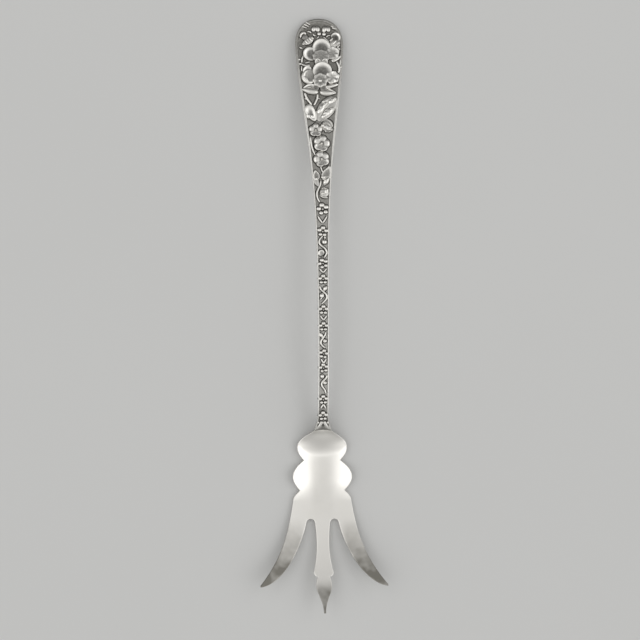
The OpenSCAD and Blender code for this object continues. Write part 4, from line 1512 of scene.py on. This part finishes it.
@dataclass(frozen=True)
class BroadEnd:
    """Flowers on the broad round end: buds, curled leaves and two large roses."""

    rose_h: float = 1.2
    petal_h: float = 1.05
    bud_h: float = 0.8
    bar_h: float = 0.85
    # Way of a leaf's bars: where each starts and ends, as shares of its reach from its middle
    left_way: tuple[Spot, Spot] = ((-0.62, -0.8), (0.75, 0.7))
    right_way: tuple[Spot, Spot] = ((-0.8, 0.62), (0.72, -0.75))

    def buds(self) -> list[Motif]:
        """Two cleft buds, two beads, and the short sepals between them and the rose.

        Returns:
            The lobes of the buds, the beads and the sepals.
        """
        # Each lobe has its place, its half length, its half width and its facing
        lobes = (
            (-1.95, 3.95, 1.25, 0.98, 195.0),
            (-0.45, 3.95, 1.25, 0.98, 165.0),
            (2.15, 4.1, 1.35, 0.95, 195.0),
            (3.65, 4.05, 1.25, 0.95, 165.0),
        )
        light = Light(0.45, 0.15, 0.4, 0.88)
        made: list[Motif] = []
        for x, d, along, across, facing in lobes:
            made.append(Petal(x, d, along, across, self.bud_h, facing, light=light, swell=2.2, skirt=0.12))
        return made + [
            dome(0.11, 5.85, 0.8, 0.85, self.bud_h),
            dome(1.97, 6.0, 0.78, 0.82, 0.75),
            stroke(((-2.4, 6.0), (-1.3, 6.8)), 0.42, 0.6),
            stroke(((-0.9, 7.8), (0.0, 6.85)), 0.32, 0.55),
            stroke(((1.6, 7.0), (3.1, 8.3), (4.0, 9.5)), 0.34, 0.6),
            stroke(((2.8, 7.3), (3.5, 6.6), (4.6, 6.5)), 0.34, 0.55),
        ]

    def bars(self) -> list[Motif]:
        """Bright bars across the two striped leaves.

        Returns:
            One stroke for each bar.
        """
        # Each bar has the place of its middle, its reach, its half width and its shine
        left = (
            (-2.5, 7.6, 0.7, 0.46, 0.9),
            (-3.2, 8.15, 1.15, 0.6, 1.0),
            (-4.1, 8.6, 1.3, 0.5, 0.75),
            (-4.75, 9.25, 1.15, 0.62, 1.0),
            (-5.75, 9.6, 0.9, 0.42, 0.65),
        )
        right = (
            (4.75, 8.2, 0.95, 0.46, 0.85),
            (5.75, 9.35, 1.35, 0.62, 1.0),
            (6.9, 9.7, 1.2, 0.5, 0.7),
            (7.5, 10.7, 0.8, 0.42, 0.8),
        )
        made: list[Motif] = []
        for ((ax, ad), (bx, bd)), rows in ((self.left_way, left), (self.right_way, right)):
            for x, d, reach, width, shine in rows:
                path = ((x + ax * reach, d + ad * reach), (x, d), (x + bx * reach, d + bd * reach))
                made.append(stroke(path, width, self.bar_h, shine))
        return made

    def leaves(self) -> list[Motif]:
        """Curled and striped leaves beside the first rose, and the nicks at the border.

        Returns:
            The leaves, their bars and the nicks.
        """
        nicks = (((-5.1, 1.35), (-3.2, 2.5)), ((-5.9, 2.1), (-3.8, 3.2)), ((-6.6, 3.0), (-4.6, 3.75)))
        curl = ((-7.1, 7.6), (-7.1, 6.5), (-6.5, 5.7), (-5.6, 5.55), (-5.0, 6.3))
        left = ((-6.6, 10.1), (-4.6, 8.9), (-2.2, 7.3))
        right = ((4.3, 10.4), (6.2, 9.5), (8.2, 9.2))
        made: list[Motif] = [Ribbon(path, 0.42, 0.95, start=0.3, end=0.3, skirt=0.03) for path in nicks]
        made += [
            stroke(((4.6, 2.7), (5.8, 3.2)), 0.36, 0.5),
            stroke(((5.0, 3.4), (7.0, 4.15)), 0.46, 0.75),
            Ribbon(curl, 0.62, 0.95, start=0.4, end=0.3),
            Petal(-5.5, 7.1, 1.0, 1.3, 0.5, 325.0, light=Light(shine=0.3)),
            stroke(((-4.6, 5.2), (-3.7, 5.0), (-2.9, 5.7)), 0.42, 0.75),
            Petal(6.5, 7.2, 1.9, 2.0, 1.0, 30.0, Scoop(0.6, 0.84, 0.4, 0.1), Light(0.9, 0.3, 0.3)),
            Ribbon(left, 1.45, 0.65, Section.LEAF, 0.7, 0.5, shine=0.7),
            Ribbon(right, 1.5, 0.6, Section.LEAF, 0.3, 0.4, shine=0.7),
            stroke(((6.9, 11.0), (8.2, 12.1)), 0.46, 0.65),
            stroke(((-7.7, 11.0), (-6.5, 11.7)), 0.46, 0.65),
        ]
        return made + self.bars()

    def upper_rose(self) -> list[Motif]:
        """First rose: three scooped petals, a ruffled heart with stamens and two small petals at its foot.

        Returns:
            The petals, the heart and the stamens.
        """
        h = self.petal_h
        stamens = ((-0.6, 14.2), (0.15, 13.6), (1.15, 13.75), (0.65, 14.5), (-0.05, 15.15), (1.75, 14.65))
        heart, soft = Light(0.4, 0.4, shine=0.55), Light(0.6, 0.3)
        small, level = Scoop(0.4, 0.78, 0.4), Scoop(0.14, 0.84, 0.3, 0.95)
        frill, crimp = Waves(5.0, 0.05, 7.0, 0.08), Waves(9.0, 0.05, 9.0, 0.05)
        made: list[Motif] = [
            Petal(0.9, 11.25, 3.6, 3.65, h, 0.0, Scoop(0.62, 0.9, 0.8, 0.3), Light(0.8, 0.34, 0.34)),
            Petal(-3.5, 13.7, 3.05, 2.7, h, 295.0, Scoop(0.5, 0.86, 0.5, 0.2), Light(0.8, 0.32, 0.28)),
            Petal(5.1, 13.4, 2.8, 2.5, h, 65.0, Scoop(0.4, 0.86, 0.5, 0.35), soft, frill),
            Petal(0.6, 14.6, 2.7, 3.5, 0.95, 0.0, level, heart, crimp),
            Petal(-0.75, 16.75, 1.3, 1.25, 1.15, 350.0, small, soft),
            Petal(2.05, 16.75, 1.3, 1.25, 1.15, 10.0, small, soft),
        ]
        grey = Light(shine=0.62)
        for x, d in stamens:
            made.append(Petal(x, d, 0.34, 0.36, 1.04, light=grey, skirt=0.05, rings=6, spokes=16))
        return made

    def twigs(self) -> list[Motif]:
        """Stalks, buds and slim leaves between the roses and the border."""
        return [
            stroke(((-6.3, 14.3), (-6.75, 15.6), (-6.9, 17.3)), 0.42, 0.6),
            dome(-7.8, 15.85, 0.5, 0.55, 0.6),
            dome(-7.5, 17.55, 0.5, 0.6, 0.6),
            stroke(((-7.2, 17.5), (-5.6, 18.2), (-3.6, 18.1)), 0.4, 0.6),
            stroke(((-5.8, 17.3), (-3.7, 16.8)), 0.34, 0.5),
            stroke(((-7.0, 18.2), (-7.0, 20.5)), 0.34, 0.5),
            Ribbon(((4.6, 16.7), (6.6, 15.7), (8.6, 14.4)), 0.8, 0.9, Section.LEAF, 0.25, 0.5, groove=0.15),
            Ribbon(((6.6, 16.6), (7.5, 18.6), (7.5, 20.2), (6.9, 21.2)), 0.58, 0.75, start=0.2, end=0.2),
            stroke(((7.4, 19.3), (8.6, 18.7)), 0.38, 0.6),
            stroke(((8.1, 15.8), (7.9, 18.3)), 0.3, 0.45),
        ]

    def lower_rose(self) -> list[Motif]:
        """Second rose: scooped and ruffled petals, one with a lobe turned over, round a heart with a bead.

        Returns:
            The petals, the scalloped heart and the bead.
        """
        h = self.rose_h
        # The two petals under the rose get painted shade and less shine
        heart, dull_and_shaded = Light(0.6, 0.45, 0.35, 0.8), Light(0.6, shine=0.5)
        under, level = Scoop(0.3, 0.8), Scoop(0.14, 0.84, 0.3, 0.95)
        frill, scallops = Waves(6.0, 0.07, 6.0, 0.12), Waves(8.0, 0.07, 8.0, 0.06)
        return [
            Petal(0.95, 20.2, 3.5, 3.85, h, 0.0, Scoop(0.6, 0.9, 0.8, 0.3), Light(0.78, 0.32, 0.4)),
            Petal(-4.9, 20.0, 1.6, 1.9, 0.85, 320.0, Scoop(0.4, low_side=0.4), Light(0.5, 0.1)),
            Petal(-4.2, 22.5, 3.1, 3.05, h, 255.0, Scoop(0.5, 0.76, 0.4, 0.2), Light(0.62, 0.4, 0.22)),
            Petal(-5.5, 23.6, 2.1, 0.95, h, 143.0, point=0.3, swell=3.2, skirt=0.05),
            Petal(4.75, 22.9, 2.9, 2.55, h, 75.0, Scoop(0.35, 0.84, 0.4, 0.4), Light(0.45), frill),
            Petal(-1.75, 26.9, 1.5, 1.35, 0.7, 190.0, under, dull_and_shaded),
            Petal(1.3, 27.1, 1.5, 1.35, 0.7, 170.0, under, dull_and_shaded),
            Petal(0.06, 24.0, 2.95, 3.05, h, 0.0, level, heart, scallops),
            Petal(0.06, 24.2, 1.4, 1.45, 1.16, 0.0, Scoop(0.2, low_side=0.9), Light(shine=0.3), skirt=0.05),
            dome(0.0, 24.2, 1.0, 1.05, 1.45),
        ]

    def sepals(self) -> list[Motif]:
        """Pointed leaves that spread from under the second rose."""
        return [
            Ribbon(((-2.2, 26.0), (-4.4, 26.2), (-6.7, 27.3)), 0.8, 0.75, Section.BOAT, 0.3, 0.5),
            Ribbon(((-7.4, 27.4), (-4.4, 28.0), (-0.7, 28.7)), 1.35, 1.05, start=0.8, end=0.5, shine=0.84),
            Ribbon(((2.0, 26.6), (4.6, 26.2), (7.2, 25.5)), 0.8, 0.9, start=0.3, end=0.4),
            Ribbon(((2.2, 26.8), (4.2, 27.8), (6.3, 29.0)), 0.46, 0.75, start=0.3, end=0.4),
            Ribbon(((-0.3, 28.6), (2.5, 28.8), (6.4, 29.0)), 1.35, 1.05, start=0.5, end=0.9, shine=0.84),
        ]


@dataclass(frozen=True)
class Taper:
    """Flowers on the tapering part: crossed stalks, a leaf spray, three blossoms, leaves and a bud."""

    blossom_h: float = 1.05

    def stalks(self) -> list[Motif]:
        """Two thorned stalks that lean together."""
        return [
            Ribbon(((-6.1, 28.8), (-5.1, 31.1), (-3.3, 33.6)), 0.56, 0.85, start=0.12, end=0.12),
            stroke(((-5.0, 31.4), (-6.1, 31.0)), 0.4, 0.6),
            Ribbon(((-1.0, 29.3), (-1.3, 31.2), (-2.6, 33.8)), 0.52, 0.75, start=0.12, end=0.12),
            stroke(((-1.3, 30.8), (-0.2, 31.2)), 0.36, 0.55),
        ]

    def pillows(self) -> list[Motif]:
        """Creased swellings between the veins of the leaves.

        Returns:
            One dome for each swelling.
        """
        # Each has its place, half length, half width, height, facing and shine
        rows = (
            (0.35, 34.9, 2.6, 1.2, 0.95, 37.0, 1.0),
            (1.7, 33.4, 1.5, 0.9, 0.9, 45.0, 0.9),
            (1.9, 32.0, 1.6, 0.9, 0.85, 62.0, 0.72),
            (4.5, 31.9, 1.8, 1.1, 0.9, 50.0, 1.0),
            (5.6, 31.3, 0.9, 0.8, 1.0, 20.0, 1.0),
            (3.0, 36.3, 2.7, 1.35, 1.0, 55.0, 1.0),
            (4.4, 35.4, 1.2, 1.0, 1.05, 35.0, 1.0),
            (1.6, 37.7, 1.7, 0.85, 0.9, 58.0, 1.0),
            (2.2, 35.6, 0.9, 0.5, 0.85, 50.0, 0.8),
            (2.85, 42.4, 2.0, 1.15, 0.95, 122.0, 0.85),
        )
        creased = Waves(creases=5.0, crease_depth=0.06)
        made: list[Motif] = []
        for *sizes, shine in rows:
            made.append(Petal(*sizes, light=Light(shine=shine), waves=creased, swell=2.3, skirt=0.06))
        return made

    def spray(self) -> list[Motif]:
        """A curled leaf on the left, a broad veined leaf and a leaf that folds over on the right.

        Returns:
            The leaves and their swellings.
        """
        near_half = ((-1.5, 39.6), (-0.2, 35.8), (2.1, 32.8), (5.3, 30.6))
        far_half = ((-1.2, 39.9), (2.2, 37.3), (4.4, 34.4), (5.9, 30.9))
        arch = ((-0.2, 40.1), (1.4, 39.3), (3.1, 39.6), (4.2, 40.8), (4.4, 42.2))
        fold = ((0.7, 41.0), (2.1, 40.5), (3.2, 41.1), (3.8, 42.2))
        curled, curl_light = Scoop(0.5, 0.8, 0.3, 0.9), Light(0.66, 0.2, 0.36)
        lip, lip_light = Scoop(0.35, 0.8, 0.3, 0.6), Light(0.5, 0.3)
        made: list[Motif] = [
            Petal(-3.75, 36.7, 3.7, 2.6, 1.0, 335.0, curled, curl_light, egg=0.5),
            dome(-4.8, 37.8, 1.25, 0.95, 1.05, 340.0),
            dome(-3.3, 38.1, 1.25, 0.95, 1.05, 340.0),
            Ribbon(((-1.9, 39.6), (-1.9, 37.8), (-1.7, 35.6)), 0.6, 0.85, start=0.3, end=0.5, shine=0.75),
            Ribbon(near_half, 1.6, 0.5, Section.LEAF, 0.5, 0.3, shine=0.62, stations=36),
            Ribbon(far_half, 1.7, 0.5, Section.LEAF, 0.5, 0.3, shine=0.62, stations=36),
            Petal(2.5, 41.5, 2.5, 2.2, 0.55, 30.0, light=Light(shine=0.5), swell=5.0),
            Ribbon(arch, 0.42, 0.75, start=0.15, end=0.2, shine=0.8),
            Ribbon(fold, 0.42, 0.8, start=0.15, end=0.2, shine=0.75),
            Petal(2.9, 43.3, 1.0, 1.7, 0.9, 165.0, lip, lip_light, Waves(6.0, 0.08)),
            dome(0.65, 41.6, 0.8, 0.85, 1.0),
            dome(1.65, 42.1, 0.85, 0.85, 1.0),
        ]
        return made + self.pillows()

    def blossoms(self) -> list[Motif]:
        """Three five-petal blossoms, one under the other."""
        places = ((-2.05, 43.3, 2.65, 2.0), (0.15, 48.5, 3.25, 15.0), (0.0, 54.5, 3.15, -19.0))
        return [part for x, d, r, turn in places for part in Blossom(x, d, r, self.blossom_h, turn).motifs()]

    def trio_vine(self) -> list[Motif]:
        """The stalk beside the blossoms, and the one under the last."""
        return [
            Ribbon(((-4.1, 45.8), (-3.9, 48.2), (-3.4, 50.6), (-2.3, 53.2)), 0.42, 0.65, start=0.12, end=0.2),
            stroke(((-3.8, 48.4), (-4.6, 48.0)), 0.34, 0.55),
            Ribbon(((-0.4, 57.3), (-0.1, 58.4), (0.4, 59.8)), 0.38, 0.65, stations=14),
        ]

    def leaf_pair(self) -> list[Motif]:
        """Two upright leaves with hollow tips, folded over half way.

        Returns:
            The hollow tips, the folds and the lower halves.
        """
        left, right = Scoop(0.4, 0.84, 0.3, 0.7), Scoop(0.4, 0.86, 0.3, 0.7)
        low_left = ((-2.4, 61.4), (-2.1, 63.2), (-1.2, 65.2))
        low_right = ((2.1, 60.6), (1.7, 62.8), (0.7, 64.8))
        return [
            Petal(-2.2, 60.7, 2.1, 1.5, 0.8, 350.0, left, Light(0.75, 0.4, 0.4), point=0.5),
            stroke(((-2.75, 58.9), (-1.9, 59.5), (-1.0, 60.7)), 0.32, 0.95),
            Ribbon(low_left, 1.15, 0.8, Section.LEAF, 0.3, 0.6, groove=0.5, shine=0.55),
            Petal(-2.35, 62.2, 0.8, 0.95, 1.0, 180.0, swell=2.6, skirt=0.1),
            Petal(2.0, 60.0, 3.1, 2.1, 0.85, 25.0, right, Light(0.7, 0.4, 0.4), point=0.55),
            stroke(((0.6, 59.4), (2.0, 58.2), (3.15, 57.0)), 0.34, 0.95),
            Ribbon(low_right, 1.25, 0.75, Section.LEAF, 0.3, 0.6, shine=0.6),
            Petal(0.5, 61.5, 0.7, 1.05, 1.0, 180.0, swell=2.6, skirt=0.1),
            Petal(1.75, 62.9, 1.8, 1.1, 1.1, 38.0, point=0.3, swell=2.6, skirt=0.12),
        ]

    def bud(self) -> list[Motif]:
        """A half-open bud: overlapping petals and two beads in its mouth."""
        return [
            Petal(0.9, 67.5, 1.9, 1.85, 0.75, 350.0, light=Light(shine=0.65), swell=3.0),
            Petal(1.65, 66.9, 1.4, 0.9, 1.0, 20.0, swell=2.4, skirt=0.14),
            dome(-0.1, 67.7, 0.65, 0.52, 1.0),
            dome(0.6, 67.75, 0.65, 0.52, 1.05),
            stroke(((-0.3, 66.1), (0.6, 65.6), (2.0, 66.0)), 0.3, 0.8),
            stroke(((-0.9, 68.5), (0.5, 69.3), (2.3, 69.5)), 0.42, 0.9),
        ]

    def bud_vine(self) -> list[Motif]:
        """The curved stalk beside the bud."""
        path = ((-0.35, 62.6), (-0.65, 64.4), (-1.6, 66.4), (-2.0, 67.9), (-1.7, 69.7), (-0.85, 71.3))
        return [Ribbon(path, 0.44, 0.7, start=0.1, end=0.15, stations=34)]


@dataclass(frozen=True)
class Stem:
    """Small flowers on the slim stem: blossoms in pairs, sprigs between them and winding vines."""

    bead_h: float = 0.93
    sprig_h: float = 0.72
    vine_h: float = 0.72

    def blossoms(self) -> list[Motif]:
        """Ten blossoms of five domes round a small bead; the lower domes are flatter.

        Returns:
            The domes and the beads.
        """
        # Each blossom has its place, its turn and its size
        places = (
            (0.15, 73.8, -12.0, 1.2),
            (0.05, 82.4, 6.0, 1.08),
            (0.0, 94.7, -20.0, 1.04),
            (0.0, 100.8, 0.0, 1.0),
            (0.0, 112.5, 0.0, 0.98),
            (0.0, 118.9, 0.0, 0.96),
            (0.0, 129.4, 10.0, 0.96),
            (0.0, 134.8, -8.0, 0.96),
            (0.0, 147.0, -3.0, 0.96),
            (0.0, 153.3, -3.0, 0.96),
        )
        made: list[Motif] = []
        for x, d, turn, size in places:
            for i in range(5):
                angle = math.radians(turn + 72.0 * i)
                low = 0.5 - 0.5 * math.cos(angle)
                across, along = 1.26 * size * math.sin(angle), 1.36 * size * math.cos(angle)
                reach, breadth = size * (0.8 - 0.16 * low), size * (0.92 - 0.2 * low)
                made.append(dome(x + across, d - along, reach, breadth, self.bead_h * (1.0 - 0.25 * low)))
            bead, top = 0.4 * size, 0.6 * self.bead_h
            made.append(Petal(x, d, bead, bead, top, light=Light(shine=0.7), rings=6, spokes=16))
        return made

    def chevrons(self) -> list[Motif]:
        """A V-shaped sprig between the blossoms of each pair; the last one stands on its head.

        Returns:
            Two ribbons for each sprig.
        """
        # Each sprig has the place of its tips, the place of its foot, and its reach to each side
        places = (
            (76.3, 79.2, 1.85),
            (96.6, 98.2, 1.35),
            (114.7, 116.4, 1.2),
            (131.2, 132.9, 1.0),
            (150.4, 148.7, 0.95),
        )
        made: list[Motif] = []
        for (top, foot, reach), side in product(places, (-1.0, 1.0)):
            path = ((0.0, foot), (0.55 * side * reach, 0.5 * (top + foot)), (side * reach, top))
            made.append(Ribbon(path, 0.42, self.sprig_h, end=0.2, stations=18))
        return made

    def vines(self) -> list[Motif]:
        """An S-shaped vine in each gap between the pairs.

        Returns:
            One ribbon for each vine.
        """
        # For each vine, places across and the places along that go with them
        bends = (
            ((0.1, -1.1, -1.35, -0.5, 0.7, 1.45, 1.2, 0.3), (84.0, 85.4, 86.8, 87.9, 88.8, 90.1, 91.3, 92.6)),
            ((-1.4, -1.0, 0.0, 1.0, 1.35, 0.9, -0.7), (103.2, 104.5, 105.5, 106.4, 107.5, 108.6, 110.3)),
            ((0.9, 0.6, -0.1, -0.9, -1.05, -0.4, 0.6), (120.9, 122.0, 123.1, 124.2, 125.3, 126.3, 127.1)),
            ((1.35, 0.9, -0.2, -0.75, -0.4, 0.5, 1.0), (137.4, 138.8, 139.8, 140.9, 142.0, 143.2, 144.7)),
        )
        made: list[Motif] = []
        for across, along in bends:
            path = tuple(zip(across, along))
            made.append(Ribbon(path, 0.44, self.vine_h, start=0.1, end=0.1, stations=44, columns=11))
        return made

    def vine_buds(self) -> list[Motif]:
        """Buds and broad leaves in the bends of the vines."""
        h = self.bead_h
        return [
            dome(0.65, 86.4, 1.0, 1.05, h),
            dome(0.85, 84.8, 0.55, 0.55, 0.75),
            Petal(-0.7, 90.6, 1.25, 1.4, 0.85, 330.0, Scoop(0.4, 0.74, 0.2, 0.3), Light(0.6)),
            Petal(0.75, 104.2, 1.15, 0.9, 0.85, 30.0, point=0.4),
            dome(-0.55, 107.0, 1.05, 0.95, h),
            stroke(((-1.2, 108.6), (-0.4, 107.6)), 0.36, 0.6),
            Petal(-1.0, 122.1, 1.15, 0.85, 0.85, 330.0, point=0.4),
            dome(0.5, 124.4, 0.85, 0.85, h),
            dome(-0.5, 138.0, 0.9, 0.85, 0.8),
            dome(0.55, 140.5, 0.8, 0.8, h),
        ]

    def foot_leaves(self) -> list[Motif]:
        """Two broad leaves at the foot of the panel, with a round at each side.

        Returns:
            The leaves and the rounds.
        """
        made: list[Motif] = []
        for side in (-1.0, 1.0):
            path = ((0.4 * side, 155.3), (0.95 * side, 156.5), (2.1 * side, 158.0))
            made.append(Ribbon(path, 0.72, 0.68, Section.LEAF, 0.25, 0.6, shine=0.75))
            made.append(dome(1.85 * side, 155.8, 0.62, 0.42, 0.75, -15.0 * side))
        return made


@dataclass(frozen=True)
class Studio:
    """Soft light and the camera, set as in a product photograph taken from above; its sizes are metres."""

    half_frame: float = 0.12384
    distance: float = 1.5
    lean: float = 5.5
    roll: float = 0.452
    aim: Spot = (-0.00017, -0.00178)
    sensor: float = 36.0
    box_width: float = 0.5
    box_angles: Spot = (-30.0, 36.0)
    # Each row of soft boxes has its place along, its length and its power
    box_rows: tuple[tuple[float, float, float], ...] = ((-0.27, 0.42, 0.58), (0.42, 0.58, 0.64))
    box_distance: float = 1.1
    side_gain: float = 1.1
    # Greys of the sky and their places: from past the tines, 0, to past the round end, 1
    greys: Path = (
        ((0.0, 0.6), (0.1, 0.63), (0.17, 0.68), (0.25, 0.77), (0.33, 0.9), (0.4, 0.86))
        + ((0.45, 0.72), (0.49, 0.61), (0.55, 0.6), (0.6, 0.63), (0.66, 0.6), (0.7, 0.56))
        + ((0.75, 0.4), (0.8, 0.3), (0.9, 0.22), (1.0, 0.18))
    )
    # Blue of those greys, as a share of the rest
    warmth: float = 0.985
    # Share of that light from level, 0, to overhead, 1
    heights: Path = ((0.0, 0.5), (0.3, 0.66), (0.5, 0.8), (0.7, 0.95), (0.85, 0.98), (1.0, 1.0))

    def camera(self) -> None:
        """Place the camera above the fork, leaning to its left, with its frame square on the table."""
        data = bpy.data.cameras.new("photo_camera")
        data.sensor_width = self.sensor
        data.lens = 0.5 * self.sensor * self.distance / self.half_frame
        lean, roll = math.radians(self.lean), math.radians(self.roll)
        back = Vector((-math.sin(lean), 0.0, math.cos(lean)))
        right = Vector((math.sin(roll), math.cos(roll), 0.0)).cross(back).normalized()
        turn = Matrix((right, back.cross(right), back)).transposed()
        camera = bpy.data.objects.new("photo_camera", data)
        place = Vector((*self.aim, 0.0)) + back * self.distance
        camera.matrix_world = Matrix.Translation(place) @ turn.to_4x4()
        bpy.context.scene.collection.objects.link(camera)
        bpy.context.scene.camera = camera

    @staticmethod
    def ramp(at: Value, greys: Path, blue: float) -> Value:
        """Colour ramp of greys at their places, with blue as a share of the rest."""
        stops = [(place, (v, v, v * blue, 1.0)) for place, v in greys]
        return at.graph.value("ShaderNodeValToRGB", {"stops": stops}, {0: at})

    def sky(self) -> None:
        """A world that is bright overhead and at the sides, dim past the round end, medium past the tines."""
        world = bpy.data.worlds.new("studio_sky")
        world.use_nodes = True
        graph = NodeGraph(world.node_tree)
        place = graph.value("ShaderNodeTexCoord", {}, {}, "Generated")
        axes = graph.node("ShaderNodeSeparateXYZ", {}, {0: place}).outputs
        across, ahead, above = (Value(graph, axis) for axis in axes)
        light = self.ramp(ahead * 0.5 + 0.5, self.greys, self.warmth)
        strength = self.ramp(above, self.heights, 1.0) * (1.0 + self.side_gain * (across * across))
        back = graph.value("ShaderNodeBackground", {}, {"Color": light, "Strength": strength})
        graph.node("ShaderNodeOutputWorld", {}, {"Surface": back})
        bpy.context.scene.world = world

    def soft_boxes(self) -> None:
        """Two soft boxes on each side: by the bowl, whose sides they whiten, and by the flowers."""
        for degrees, (y, length, power) in product(self.box_angles, self.box_rows):
            data = bpy.data.lights.new("soft_box", "AREA")
            data.shape = "RECTANGLE"
            data.size, data.size_y = self.box_width, length
            data.energy = power
            lamp = bpy.data.objects.new("soft_box", data)
            angle = math.radians(degrees)
            lamp.location = (math.sin(angle) * self.box_distance, y, math.cos(angle) * self.box_distance)
            lamp.rotation_euler = (0.0, angle, 0.0)
            lamp.visible_camera = False
            bpy.context.scene.collection.objects.link(lamp)

    def build(self) -> None:
        """Set up the camera, the light and the plain view transform."""
        self.camera()
        self.sky()
        self.soft_boxes()
        bpy.context.scene.view_settings.view_transform = "Standard"


def main() -> None:
    """Build the studio, then the head, the handle and each group of ornament."""
    logging.basicConfig(level=logging.INFO, format="%(message)s")
    Studio().build()
    PaleFloor().build()
    handle = Handle()
    head = ForkHead(handle)
    maker = PieceMaker(handle)
    plain = PolishedSilver().material()
    ground = ChasedSilver("oxidised_silver_stippled", (0.97, 0.958, 0.928, 1.0), stipple=0.6).material()
    # The raised pieces' darkest colour stands for oxide and for painted shade in hollows, on walls and round
    # their feet
    raised = ChasedSilver("raised_silver_chased", oxide_and_shade=(0.08, 0.078, 0.072, 1.0)).material()
    maker.add("fork_head_plate", head.shell(), plain, "fork_head", "polished_silver")
    maker.add("handle_plate", handle.shell(), ground, "handle", "oxidised_silver")
    maker.add("solder_film", head.seam_shell(), HardSolder().material(), "solder_seam", "hard_solder")
    broad, taper, stem = BroadEnd(), Taper(), Stem()
    groups = {
        "tip_buds": broad.buds(),
        "tip_leaves": broad.leaves(),
        "upper_rose": broad.upper_rose(),
        "rose_twigs": broad.twigs(),
        "lower_rose": broad.lower_rose(),
        "rose_sepals": broad.sepals(),
        "crossed_stalks": taper.stalks(),
        "leaf_spray": taper.spray(),
        "blossom_trio": taper.blossoms(),
        "trio_vine": taper.trio_vine(),
        "leaf_pair": taper.leaf_pair(),
        "half_open_bud": taper.bud(),
        "bud_vine": taper.bud_vine(),
        "stem_blossoms": stem.blossoms(),
        "stem_chevrons": stem.chevrons(),
        "stem_vines": stem.vines(),
        "stem_vine_buds": stem.vine_buds(),
        "foot_leaves": stem.foot_leaves(),
    }
    for node, motifs in groups.items():
        maker.relief(node, motifs, raised)


if __name__ == "__main__":
    main()
